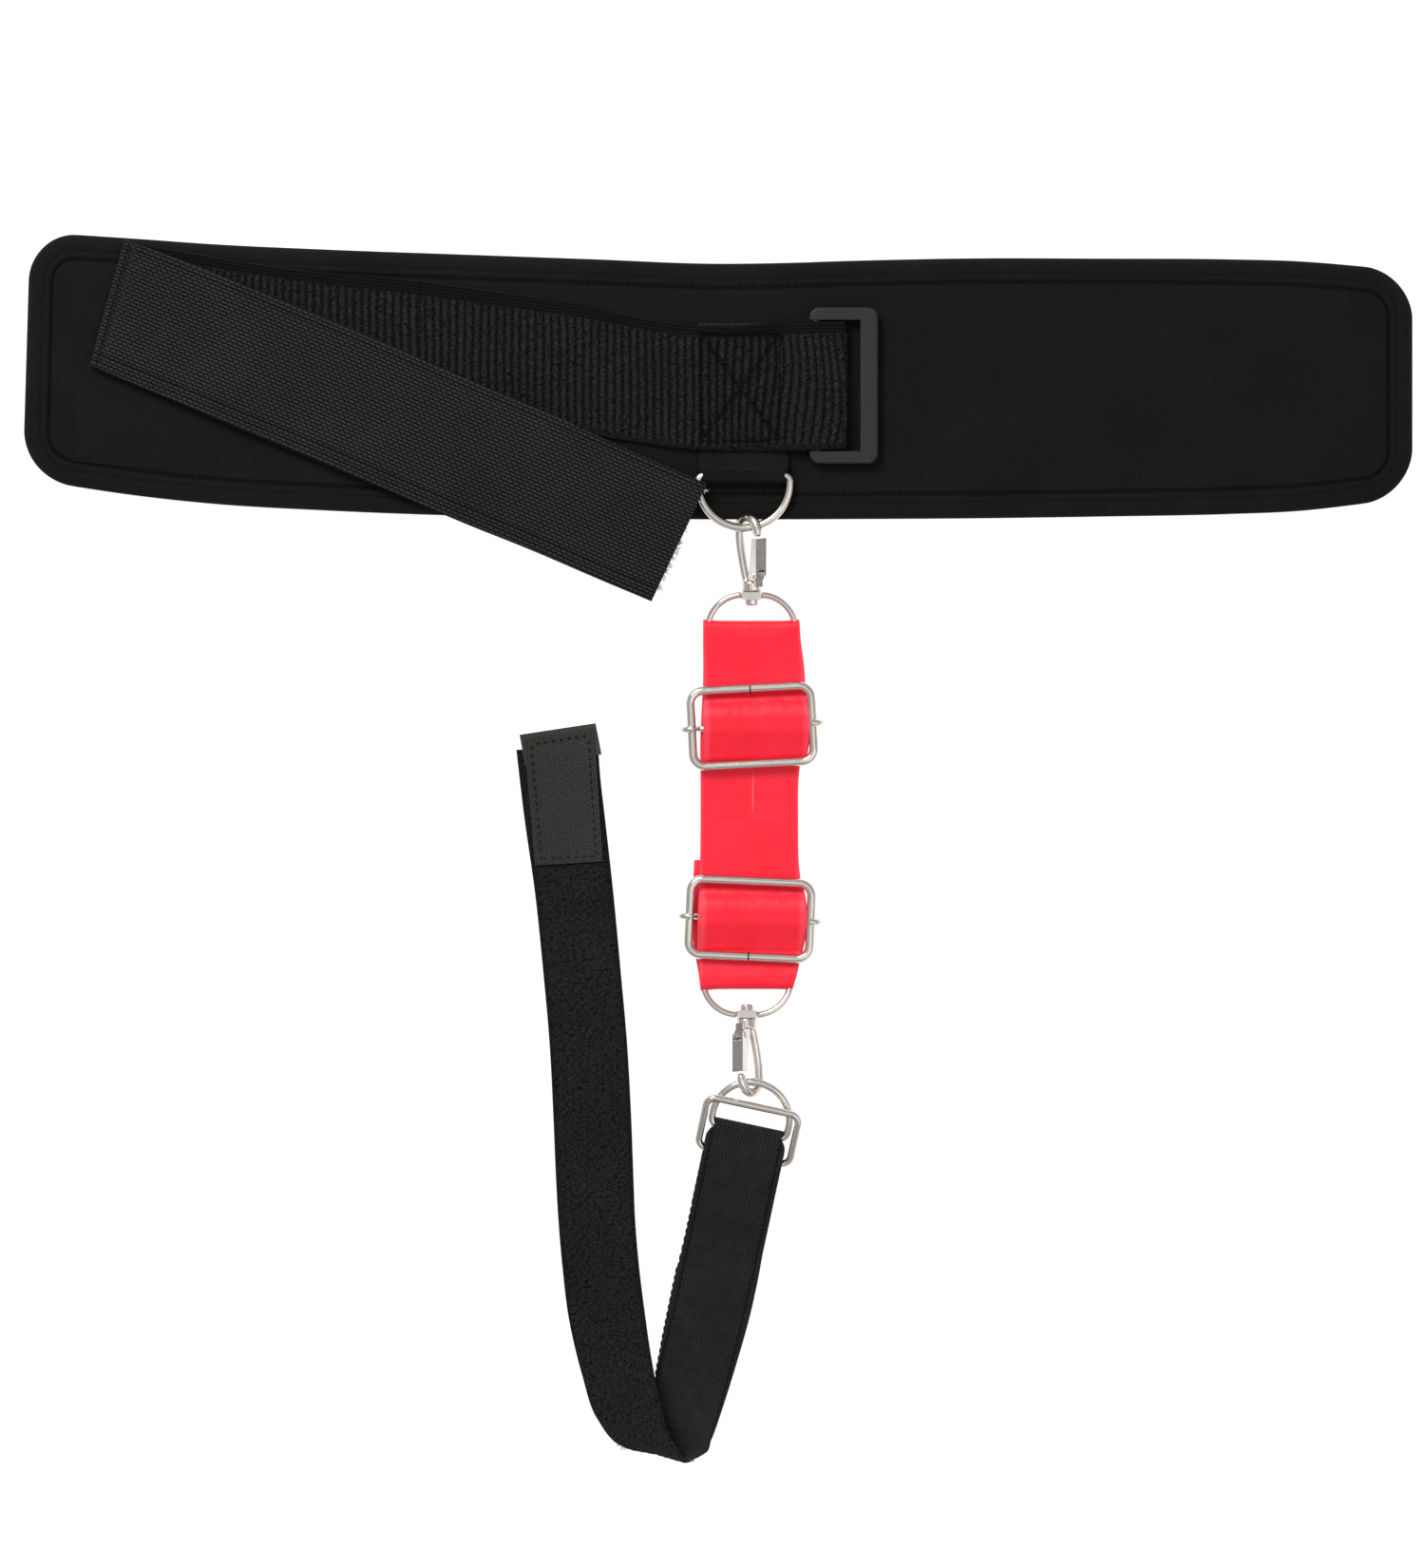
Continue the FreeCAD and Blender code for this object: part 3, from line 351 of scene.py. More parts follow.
class Graph:
    """The nodes of a material, or of the world, with short names for the ones used most."""

    def __init__(self, name, kind="materials"):
        self.owner = getattr(bpy.data, kind).new(name)
        self.owner.use_nodes = True
        self.tree = self.owner.node_tree
        self.shader = self.tree.nodes.get("Principled BSDF") or self.tree.nodes["Background"]

    def node(self, kind, sockets=None, **settings):
        made = self.tree.nodes.new(kind)
        for key, value in settings.items():
            setattr(made, key, value)
        for key, value in (sockets or {}).items():
            self.put(made.inputs[key], value)
        return made

    def put(self, socket, value):
        if isinstance(value, bpy.types.NodeSocket):
            self.tree.links.new(value, socket)
        else:
            socket.default_value = value

    def math(self, operation, a, b=0.0):
        return self.node("ShaderNodeMath", {0: a, 1: b}, operation=operation).outputs[0]

    def span(self, value, low=0.3, high=0.7, to_low=0.0, to_high=1.0):
        made = self.node("ShaderNodeMapRange", {"Value": value, "From Min": low, "From Max": high,
                                                "To Min": to_low, "To Max": to_high})
        return made.outputs["Result"]

    def mix(self, share, one, two):
        return self.node("ShaderNodeMix", {0: share, 6: one, 7: two}, data_type="RGBA").outputs[2]

    def uv(self):
        return self.node("ShaderNodeUVMap", uv_map="UVMap").outputs[0]

    def object_place(self):
        return self.node("ShaderNodeTexCoord").outputs["Object"]

    def split(self, where):
        return self.node("ShaderNodeSeparateXYZ", {0: where}).outputs

    def place(self, where, scale, turn=0.0):
        sockets = {"Vector": where, "Scale": scale, "Rotation": (0, 0, turn)}
        return self.node("ShaderNodeMapping", sockets).outputs[0]

    def noise(self, where, scale, detail=2.0, rough=0.5, output="Fac"):
        sockets = {"Vector": where, "Scale": scale, "Detail": detail, "Roughness": rough}
        return self.node("ShaderNodeTexNoise", sockets).outputs[output]

    def cells(self, where, scale, random=1.0, **settings):
        sockets = {"Vector": where, "Scale": scale, "Randomness": random}
        return self.node("ShaderNodeTexVoronoi", sockets, **settings).outputs["Distance"]

    def bricks(self, where, length, row, gap, softness):
        sockets = {"Vector": where, "Scale": 1.0, "Mortar Size": gap, "Mortar Smooth": softness,
                   "Brick Width": length, "Row Height": row}
        return self.math("SUBTRACT", 1.0, self.node("ShaderNodeTexBrick", sockets, offset=0.5).outputs["Fac"])

    def bump(self, height, distance, strength=1.0, over=None):
        made = self.node("ShaderNodeBump", {"Height": height, "Distance": distance, "Strength": strength})
        if over is not None:
            self.put(made.inputs["Normal"], over)
        return made.outputs["Normal"]

    def finish(self, **sockets):
        for key, value in sockets.items():
            self.put(self.shader.inputs[key.replace("_", " ")], value)
        return self.owner


def grey(level, warm=0.0):
    """Colour of equal parts, with a little more red and less blue when warm."""
    return (level * (1 + warm), level, level * (1 - warm), 1.0)


def cloth(name, pattern, dark, light, depth, roughness=0.85, sheen=0.03, specular=0.05, lint=0.0,
          painted_groove_shade=None):
    """Dark textile: the pattern drives both its colour and its relief; wear and lint vary it.

    The painted groove shade gives the modelled relief's low and high, and how dark its low places are
    painted: painted shade in the grooves, seams and between the ribs.
    """
    g = Graph(name)
    where = g.uv()
    height = pattern(g, where)
    wear = g.noise(where, 0.03, 3.0)
    fibre = g.noise(where, 3.2, 2.0, 0.7)
    tone = g.mix(g.span(height, 0.0, 1.0), dark, light)
    wear_grain_and_groove_shade = g.math("ADD", g.span(wear, 0.3, 0.7, 0.86, 1.12), g.span(fibre, 0.3, 0.7, -0.18, 0.18))
    # Painted shade: the low places of the modelled relief, read from the depth attribute, are darkened as if
    # in shadow
    if painted_groove_shade:
        low, high, darkest_shade = painted_groove_shade
        relief = g.node("ShaderNodeAttribute", attribute_name="depth").outputs["Fac"]
        wear_grain_and_groove_shade = g.math("MULTIPLY", wear_grain_and_groove_shade, g.span(relief, low, high, darkest_shade, 1.25))
    colour = g.node("ShaderNodeVectorMath", {0: tone, "Scale": wear_grain_and_groove_shade}, operation="SCALE").outputs[0]
    if lint:
        speck = g.math("LESS_THAN", g.cells(where, 0.11), lint)
        colour = g.mix(g.math("MULTIPLY", speck, 0.35), colour, grey(0.11))
    fine = g.bump(fibre, 0.00012, 0.6, g.bump(height, depth))
    return g.finish(Base_Color=colour, Roughness=roughness, Normal=fine, Sheen_Weight=sheen,
                    Sheen_Roughness=0.6, Sheen_Tint=(1.0, 0.84, 0.8, 1.0), Specular_IOR_Level=specular)


def knit_pattern(g, where):
    """Fine knit with faint columns across the pad."""
    columns = g.noise(g.place(where, (1.1, 0.16, 1.0)), 1.0, 2.0, 0.6)
    grain = g.noise(where, 1.9, 2.0, 0.6)
    return g.math("ADD", g.math("MULTIPLY", columns, 0.55), g.math("MULTIPLY", grain, 0.45))


def dash_pattern(g, where):
    """Lengthwise rows of short stitches, each row half a stitch on from the last."""
    middles = g.node("ShaderNodeMapping", {"Vector": where, "Location": (0.0, ROW / 2, 0.0)}).outputs[0]
    return g.bricks(middles, 2.5, ROW, gap=0.3, softness=0.7)


def loop_pattern(g, where):
    """Tangled small loops."""
    push = g.node("ShaderNodeTexNoise", {"Vector": where, "Scale": 0.9}).outputs["Color"]
    warped = g.node("ShaderNodeVectorMath", {0: where, 1: push}, operation="ADD").outputs[0]
    return g.span(g.cells(warped, 1.15, feature="SMOOTH_F1"), 0.0, 0.75, 1.0, 0.0)


def ribbed_loop_pattern(g, where):
    """Small loops over the ribs, and smooth cords along the selvedge."""
    across = g.split(where)[1]
    ribbed = g.span(across, 19.4, 20.6, 1.0, 0.0)
    cords = g.math("MULTIPLY", g.math("ADD", g.math("SINE", g.math("MULTIPLY", across, 4.8)), 1.0), 0.2)
    loops = g.math("MULTIPLY", loop_pattern(g, where), ribbed)
    return g.math("ADD", loops, g.math("MULTIPLY", cords, g.math("SUBTRACT", 1.0, ribbed)))


def webbing_pattern(g, where):
    """Crosswise ribs broken into short lengthwise picks."""
    return g.bricks(g.place(where, (1.0, 1.0, 1.0), math.pi / 2), WEB_PICK, WEB_RIB, gap=0.2, softness=1.0)


def hook_pattern(g, where):
    """Rows of small stiff hooks."""
    return g.span(g.cells(g.place(where, (1.0, 0.8, 1.0)), 1.15, 0.35), 0.1, 0.6, 1.0, 0.0)


def plain_pattern(g, where):
    """Close plain weave, seen as grain only."""
    return g.noise(where, 1.5, 3.0, 0.6)


def thread_material(name, level):
    """Thread with a slanting twist."""
    g = Graph(name)
    twist = g.node("ShaderNodeTexWave", {"Vector": g.uv(), "Scale": 1.6, "Distortion": 0.5},
                   bands_direction="DIAGONAL").outputs["Fac"]
    return g.finish(Base_Color=g.mix(twist, grey(level * 0.7), grey(level * 1.2)), Roughness=0.6,
                    Specular_IOR_Level=0.2, Normal=g.bump(twist, 0.0001))


def nickel(name, tint, roughness, relief):
    """Nickel plate with small waves, pores and rubbed patches."""
    g = Graph(name)
    where = g.object_place()
    patches = g.noise(where, 140.0, 3.0, 0.6)
    pores = g.noise(where, 900.0, 2.0, 0.5)
    tone = g.mix(g.span(patches), (*tint, 1.0), (*(c * 0.9 for c in tint), 1.0))
    rough = g.math("ADD", g.span(patches, 0.3, 0.7, roughness * 0.75, roughness * 1.3),
                   g.span(pores, 0.4, 0.7, 0.0, 0.05))
    waves = g.bump(g.noise(where, 160.0), relief)
    return g.finish(Base_Color=tone, Metallic=1.0, Roughness=rough, Normal=g.bump(pores, 0.00002, 0.5, waves))


def moulded_plastic(name):
    """Black plastic with a fine moulded grain."""
    g = Graph(name)
    where = g.object_place()
    grain = g.noise(where, 2600.0, 2.0, 0.6)
    patches = g.noise(where, 60.0, 3.0)
    tone = g.mix(g.span(patches), (0.0105, 0.0102, 0.0106, 1), (0.0145, 0.014, 0.0145, 1))
    return g.finish(Base_Color=tone, Roughness=g.span(grain, 0.3, 0.7, 0.42, 0.6), Specular_IOR_Level=0.3,
                    Normal=g.bump(grain, 0.00004, 0.7))


def red_rubber(name, crease):
    """Smooth elastic band: slight waviness, edges painted paler for the light that shines through the thin
    translucent rubber, and perhaps a short faint crease.
    """
    g = Graph(name)
    where = g.uv()
    along, across, _ = g.split(where)
    grain = g.noise(where, 2.4, 3.0, 0.6)
    tone = g.mix(g.span(g.noise(where, 0.05, 3.0, 0.6)), (0.93, 0.008, 0.026, 1), (0.97, 0.016, 0.046, 1))
    if crease:
        wander = g.math("MULTIPLY", g.noise(where, 0.08), 0.5)
        off = g.math("ABSOLUTE", g.math("ADD", g.math("ADD", across, 1.1), wander))
        ends = g.math("MULTIPLY", g.span(along, 3.0, 7.0), g.span(along, 15.0, 21.0, 1.0, 0.0))
        mark = g.math("MULTIPLY", g.span(off, 0.12, 0.4, crease, 0.0), ends)
        tone = g.mix(mark, tone, (0.95, 0.2, 0.26, 1))
    # Painted light: paler towards the edges, for light shining through the thin translucent rubber there
    tone = g.mix(g.span(g.math("ABSOLUTE", across), 17.6, 19.0, 0.0, 0.5), tone, (0.98, 0.085, 0.13, 1))
    relief = g.bump(grain, 0.00003, 0.5, g.bump(g.noise(where, 0.12), 0.0006))
    return g.finish(Base_Color=tone, Roughness=g.span(grain, 0.3, 0.7, 0.4, 0.52), Specular_IOR_Level=0.33,
                    Subsurface_Weight=0.1, Subsurface_Radius=(0.004, 0.0008, 0.0008), Normal=relief)


PAD_CLOTH = cloth("pad_cloth", knit_pattern, grey(0.0022, 0.03), grey(0.0092, 0.02), 0.00025, lint=0.012,
                  painted_groove_shade=(-0.7, -0.05, 0.3))
BACK_CLOTH = cloth("pad_lining", knit_pattern, grey(0.008), grey(0.016), 0.0002)
PANEL_CLOTH = cloth("panel_cloth", knit_pattern, grey(0.0022, 0.03), grey(0.0092, 0.02), 0.00025,
                    painted_groove_shade=(-0.45, -0.08, 0.3))
DASH_CLOTH = cloth("ribbed_elastic_cloth", dash_pattern, grey(0.003), grey(0.0225), 0.0003,
                   painted_groove_shade=(-0.03, 0.13, 0.35))
LOOP_CLOTH = cloth("loop_elastic_cloth", ribbed_loop_pattern, grey(0.002, 0.02), grey(0.028, 0.02), 0.0005,
                   painted_groove_shade=(-0.2, 0.5, 0.12))
UNDER_CLOTH = cloth("elastic_back_cloth", dash_pattern, grey(0.005), grey(0.018), 0.0002)
FINE_LOOP_CLOTH = cloth("ankle_loop_cloth", loop_pattern, grey(0.002, 0.03), grey(0.028, 0.03), 0.0005,
                        painted_groove_shade=(-0.15, 0.5, 0.4))
WEB_CLOTH = cloth("webbing_cloth", webbing_pattern, grey(0.002, 0.03), grey(0.031, 0.03), 0.0003,
                  painted_groove_shade=(-0.08, 0.06, 0.1))
TAB_CLOTH = cloth("tab_cloth", webbing_pattern, grey(0.0015), grey(0.009), 0.0002)
HOOK_TAPE = cloth("hook_tape_face", hook_pattern, grey(0.012, 0.04), grey(0.05, 0.05), 0.0004, roughness=0.5,
                  sheen=0.0, specular=0.25)
TAPE_BORDER = cloth("tape_border", plain_pattern, grey(0.03, 0.12), grey(0.055, 0.14), 0.0001, roughness=0.7)
BLACK_THREAD = thread_material("black_thread", 0.009)
PALE_THREAD = thread_material("pale_thread", 0.8)
WIRE_NICKEL = nickel("wire_nickel", (0.69, 0.635, 0.585), 0.16, 0.00002)
CAST_NICKEL = nickel("cast_nickel", (0.75, 0.70, 0.66), 0.18, 0.00002)
SPRING_METAL = nickel("spring_metal", (0.80, 0.77, 0.74), 0.22, 0.00001)
# Near-black: painted shade for the shadowed gap of the sliders' butt joints
SEAM_SHADOW_METAL = nickel("seam_shadow_metal", (0.05, 0.04, 0.035), 0.5, 0.00001)
LOOP_PLASTIC = moulded_plastic("loop_plastic_black")
RED = red_rubber("red_band_rubber", 0.0)
RED_CREASED = red_rubber("red_band_creased", 0.5)


# -------- waist pad

PAD_HALF_LENGTH = 270.0
PAD_CORNER = 19.0
PAD_HALF_THICKNESS = 3.0
PAD_SEAM = 9.6
PAD_FIRST_SEAM = 6.2
# Spacing of the mesh along the pad, and the x beyond which it follows the rounded ends instead
PAD_ROW = 2.0
PAD_STRAIGHT = 250.0
# Y of the pad's two long edges at stations along x
PAD_STATIONS = (-270, -225, -200, -150, -100, -50, 0, 25, 50, 100, 150, 200, 225, 250, 270)
PAD_HIGH = (60.6, 57.8, 56.0, 53.6, 51.8, 50.0, 48.2, 48.5, 49.3, 50.3, 50.2, 49.9, 49.2, 47.2, 45.2)
PAD_LOW = (-35.4, -42.4, -45.1, -48.1, -50.0, -51.0, -51.4, -51.4, -51.3, -51.0, -50.3, -49.3, -48.2, -45.4,
           -42.6)


def pad_bow(x):
    """Middle of the pad's width, which rises to the left."""
    return (spline(PAD_STATIONS, PAD_HIGH, x) + spline(PAD_STATIONS, PAD_LOW, x)) / 2


def pad_half_width(x):
    """Half the pad's width at x, before its corners are rounded."""
    return (spline(PAD_STATIONS, PAD_HIGH, x) - spline(PAD_STATIONS, PAD_LOW, x)) / 2


def pad_outline_half(x):
    """Half the pad's width at x, with its rounded corners."""
    beyond = np.clip(np.abs(x) - (PAD_HALF_LENGTH - PAD_CORNER), 0, PAD_CORNER)
    return pad_half_width(x) - PAD_CORNER + np.sqrt(np.maximum(PAD_CORNER ** 2 - beyond ** 2, 0))


def pad_roll(depth, width):
    """Half the pad's thickness, running out to nothing over a rolled edge of the width given."""
    return PAD_HALF_THICKNESS * np.sqrt(1 - (1 - unit(depth / width)) ** 2)


def pad_depth(x, y):
    """Distance in from the pad's outline."""
    qx = np.abs(x) - (PAD_HALF_LENGTH - PAD_CORNER)
    qy = np.abs(y - pad_bow(x)) - (pad_half_width(x) - PAD_CORNER)
    outside = np.hypot(np.maximum(qx, 0), np.maximum(qy, 0))
    return PAD_CORNER - outside - np.minimum(np.maximum(qx, qy), 0)


def pad_grooves(x, y):
    """Depth pressed into the pad by its two rows of sewing."""
    d = np.maximum(pad_depth(x, y), 0)
    return 0.75 * groove(d - PAD_SEAM, 0.8) + 0.3 * groove(d - PAD_FIRST_SEAM, 0.6)


def pad_top(x, y):
    """Height of the pad's outer face."""
    d = np.maximum(pad_depth(x, y), 0)
    swell = 0.09 * ripple(x, y, 46.0, 3) + 0.05 * ripple(x, y, 15.0, 4)
    return PAD_HALF_THICKNESS + pad_roll(d, 4.4) - pad_grooves(x, y) + swell * unit(d / 5)


def pad_under(x, y):
    """Height of the pad's back, which is pressed in along the outer row of sewing."""
    d = np.maximum(pad_depth(x, y), 0)
    return PAD_HALF_THICKNESS - pad_roll(d, 3.4) + 0.6 * groove(d - PAD_SEAM, 0.8)


def edge_steps(reach):
    """Distances in from an edge, close together over the roll and the seams."""
    roll = 4.6 * (1 - np.cos(np.linspace(0, math.pi / 2, 10)))
    return np.concatenate((roll, np.arange(5.0, reach, 0.42)))


def pad_slant(x, y):
    """How far the pad leans over at its left end, where the upper corner is drawn in."""
    return 0.03 * (y - 8.0) * unit((-225.0 - x) / 40.0) ** 1.5


def pad_piece(name, left, right):
    """The pad between two cuts, closed at each cut and rolled round its own edge elsewhere."""
    near = edge_steps(18.0)
    stations = [np.arange(max(left, -PAD_STRAIGHT), min(right, PAD_STRAIGHT) + 0.01, PAD_ROW), [left, right]]
    if left < -PAD_STRAIGHT:
        stations.append(-PAD_HALF_LENGTH + near)
    if right > PAD_STRAIGHT:
        stations.append(PAD_HALF_LENGTH - near)
    x = np.unique(np.round(np.concatenate(stations), 4))
    x = x[(x >= left) & (x <= right)]
    x = x[np.diff(x, prepend=-math.inf) > 0.02]
    steps = edge_steps(14.0)
    half = pad_outline_half(x)[:, None]
    inner = np.linspace(-1, 1, 40)[None, 1:-1] * (half - steps[-1])
    y = np.concatenate((-half + steps[None, :], inner, half - steps[None, ::-1]), axis=1)
    y = y + pad_bow(x)[:, None]
    xx = np.broadcast_to(x[:, None], y.shape)
    slanted = xx + pad_slant(xx, y)
    points = np.concatenate([np.stack((slanted, y, height(xx, y)), axis=-1).reshape(-1, 3)
                             for height in (pad_top, pad_under)])
    t = np.arange(y.size).reshape(y.shape)
    u = np.where(pad_depth(xx, y) < 1e-3, t, t + y.size)
    closed = [row for row, cut in ((0, left > -PAD_STRAIGHT), (-1, right < PAD_STRAIGHT)) if cut]
    faces, which = skin(t, u, closed)
    used = np.unique(np.concatenate((t.ravel(), u.ravel())))
    renumber = np.full(len(points), -1)
    renumber[used] = np.arange(len(used))
    faces = [[int(renumber[v]) for v in face] for face in faces]
    # The seam grooves go in as depth, for the painted shade that the pad's cloth puts in them
    depth = np.concatenate((-pad_grooves(xx, y).ravel(), np.zeros(y.size)))[used]
    return make_mesh(name, points[used], faces, points[used, :2], [PAD_CLOTH, BACK_CLOTH], which, 70.0, depth)


def seam_lines(depth, left, right):
    """Points along the pad's seam at one depth, as separate upper and lower lines."""
    x = np.arange(max(left, -PAD_HALF_LENGTH + depth + 10), min(right, PAD_HALF_LENGTH - depth - 10), 1.0)
    lines = []
    for side in (1, -1):
        y = pad_bow(x) + side * (pad_half_width(x) - depth)
        lines.append(columns_of(x + pad_slant(x, y), y, pad_top(x, y) + 0.12))
    return lines


# Each piece's name, its two cuts, where it bends and the CAD nodes it stands for
PAD_PIECES = (
    ("pad_left_end_cover", -PAD_HALF_LENGTH, LEFT_PART,
     bend_x("waist_left_middle", "waist_left_end", LEFT_PART, LEFT_REST), ("pad_left_end",)),
    ("pad_left_cover", LEFT_PART, MIDDLE_PART,
     bend_x("waist_centre", "waist_left_middle", LEFT_BEND, LEFT_PART), ("pad_left_middle", "pad_centre")),
    ("pad_right_cover", MIDDLE_PART, RIGHT_PART,
     bend_x("waist_centre", "waist_right_middle", RIGHT_BEND, RIGHT_PART), ("pad_right_middle",)),
    ("pad_right_end_cover", RIGHT_PART, PAD_HALF_LENGTH,
     bend_x("waist_right_middle", "waist_right_end", RIGHT_PART, RIGHT_REST), ("pad_right_end",)),
)


def build_pad():
    """The pad in four pieces, each with the thread of its outer seam."""
    for name, left, right, bends, stands_for in PAD_PIECES:
        mount(pad_piece(name, left, right), "pad_fabric", bends, *stands_for)
        rows = []
        for line in seam_lines(PAD_SEAM, left, right):
            rows += stitch_row(line, *PAD_STITCH)
        mount(join_rings(name.replace("cover", "stitching"), rows, BLACK_THREAD), "pad_fabric", bends)


# Left, right, low and high side of the panel, the last two from the middle of the pad's width
PANEL_SIDES = (-252.6, -211.9, -39.4, 32.9)
PANEL_Z = 5.95


def build_end_panel():
    """The stitched rectangle at the left end of the pad."""
    left, right, low, high = PANEL_SIDES
    x = np.linspace(left, right, 60)

    def relief(along, a):
        inset = np.minimum(np.minimum(along, right - left - along), (high - low) / 2 - np.abs(a))
        return 0.05 * ripple(along, a, 14.0, 8) - 0.3 * groove(inset - 1.8, 0.5) - 0.45 * groove(inset, 0.9)

    first, second = (columns_of(x, pad_bow(x) + y, np.full_like(x, PANEL_Z)) for y in (low, high))
    panel = strap("end_panel_cover", first, second, 0.5, [PANEL_CLOTH], columns=90, relief=relief)
    mount(panel, "panel_fabric", "waist_left_end", "end_panel")


# -------- closure strap

STRAP_WIDTH = 50.0
LOWER_Z = 6.95
LOWER_THICKNESS = 1.4
LOOP_FOLD_EDGE = 47.6
# How far two pieces of the layer lie over one another where they are parted
CUT_OVERLAP = 0.5
UPPER_Z = 9.6
UPPER_LENGTH = 240.3
# Start of the free half's centre line, middle of the soft turn, and which way each of them points
FOLD = np.array((-238.15, 32.6))
CROWN = np.array((-235.4, 32.0))
UPPER_TURN = -22.8
FOLD_TURN = 74.6 - 90.0
TIP_BENDS = bend_x("closure_strap_middle", "closure_strap_tip", LEFT_PART, LEFT_BEND)

# Plan edges of the loop-faced layer
LOWER_TOP = ((-228.8, 56.4), (-169.3, 46.3), (-113.7, 41.0), (-58.1, 32.6), (-6.3, 23.6), (32.0, 25.3),
             (47.6, 25.0))
LOWER_BOTTOM = ((-242.2, 8.2), (-170.0, -2.4), (-113.7, -10.6), (-58.1, -17.6), (-6.3, -24.6), (32.0, -24.8),
                (47.6, -24.2))


def lower_edges(step):
    """Plan edges of the loop-faced layer, resampled, and how far along its middle each pair lies."""
    mid = lengths_along((np.array(LOWER_TOP) + np.array(LOWER_BOTTOM)) / 2)
    at = np.linspace(0, mid[-1], int(mid[-1] / step))
    return spline(mid, LOWER_TOP, at), spline(mid, LOWER_BOTTOM, at), at


def lower_height(x):
    """Height of the loop-faced layer over the pad, the sewn box and the plastic loop's bar."""
    stations = (-260, -60, -30, -10, 22, 30, 36, 44, 52)
    return spline(stations, (LOWER_Z, LOWER_Z, 7.2, 8.3, 8.35, 10.2, 11.9, 11.95, 11.9), x)


def rib_relief(along, a):
    """Crosswise fuzzy ribs between plain selvedges, leaning where the strap nears the plastic loop."""
    near_loop = unit((along - 232.0) / 30.0)
    wander = 0.3 * ripple(along, a, 30.0, 21) + 1.5 * near_loop * np.sin(a / 10.0 + along / 16.0)
    rib = np.abs(np.cos(math.pi * (along + wander) / RIB)) * (0.88 + 0.14 * ripple(along, a, 4.5, 26))
    loops = 0.13 * np.cos(2 * math.pi * a / 1.3 + 3.0 * ripple(along, a, 4.0, 22))
    fuzz = 0.14 * ripple(along, a, 1.7, 23) + 0.1 * ripple(along, a, 1.1, 24)
    ragged = 0.8 * ripple(along, 0 * a, 2.6, 25)
    raised = unit((STRAP_WIDTH / 2 - 5.0 - a + ragged) / 0.8)
    raised = raised * unit((a + STRAP_WIDTH / 2 - 2.2 + 0.3 * ragged) / 0.8)
    selvedge = 0.04 * waves(a, 1.1) + 0.02
    return (0.8 * rib - 0.3 + loops * rib + fuzz) * raised + selvedge * (1 - raised)


BOX_LEFT = -7.5
BOX_RIGHT = 24.0
BOX_HALF = 21.0
BOX_RIM = 0.3


def sewn_box(x, a):
    """Depth of the stitched rectangle and cross at each point of the strap."""
    reach = (BOX_RIGHT - BOX_LEFT) / 2
    x = x - (BOX_LEFT + BOX_RIGHT) / 2
    pressed = np.clip(1.5 - np.abs(x / reach), 0, 0.5) * 2
    inside = (np.abs(x) < reach + BOX_RIM) & (np.abs(a) < BOX_HALF + BOX_RIM)
    slope = BOX_HALF / reach
    cross = np.minimum(np.abs(a - slope * x), np.abs(a + slope * x)) / math.hypot(1, slope)
    sides = np.minimum(np.abs(np.abs(x) - reach), np.abs(np.abs(a) - BOX_HALF))
    return inside * (0.45 * groove(np.minimum(cross, sides), 0.8) + 0.06 * pressed)


def build_lower_layer():
    """The loop-faced layer: two free pieces and the sewn anchor, and the thread of the sewn box."""
    top, bottom, at = lower_edges(0.4)
    x_middle = (top[:, 0] + bottom[:, 0]) / 2
    top, bottom = (at_height(edge, lower_height(x_middle)) for edge in (top, bottom))
    cuts = (("closure_loop_face_end", -PAD_HALF_LENGTH, LEFT_PART, PAD_PIECES[0][3], "closure_strap_end_run"),
            ("closure_loop_face_middle", LEFT_PART, MIDDLE_PART, PAD_PIECES[1][3],
             "closure_strap_middle_run"))
    for name, low, high, bends, stands_for in cuts:
        keep = (x_middle >= low - CUT_OVERLAP) & (x_middle <= high)

        def relief(along, a, keep=keep):
            return rib_relief(along, a) - sewn_box(x_middle[keep][:, None], a)

        piece = strap(name, bottom[keep], top[keep], LOWER_THICKNESS, [LOOP_CLOTH, UNDER_CLOTH], columns=84,
                      relief=relief, along=at[keep])
        mount(piece, "loop_elastic", bends, stands_for)
    keep = x_middle >= MIDDLE_PART - CUT_OVERLAP
    build_anchor(bottom[keep], top[keep], x_middle[keep], at[keep])
    build_box_stitches()


def build_anchor(bottom, top, x, along):
    """Sewn end of the layer: over the loop's bar, round a soft fold and back under itself."""
    crest = lower_height(np.array([LOOP_FOLD_EDGE]))[0]
    under = 6.85
    radius = (crest - under) / 2
    turn = np.linspace(-math.pi / 2, math.pi / 2, 22)[1:]
    fold = columns_of(x[-1] + radius * 0.35 * np.cos(turn), crest - radius * (1 + np.sin(turn)))
    back = columns_of(np.linspace(x[-1], -8.0, 90)[1:], np.full(89, under))
    tail = np.concatenate((fold, back))

    def extend(edge):
        y = np.full(len(tail), edge[-1, 1])
        return np.concatenate((edge, columns_of(tail[:, 0] + edge[-1, 0] - x[-1], y, tail[:, 1])))

    along = np.concatenate((along, along[-1] + lengths_along(tail)))
    # The sewn box shows on the outer run only, so the tail is put far away from it
    far = 400.0
    x_box = np.concatenate((x, np.full(len(tail), far)))[:, None]

    def relief(s, a):
        return rib_relief(s, a) - sewn_box(x_box, a) + (x_box == far) * 0.2 * ripple(s, a, 3.0, 31)

    piece = strap("closure_loop_face_anchor", extend(bottom), extend(top), LOWER_THICKNESS,
                  [LOOP_CLOTH, UNDER_CLOTH], columns=84, relief=relief, along=along)
    mount(piece, "loop_elastic", "waist_centre", "closure_strap_anchor")


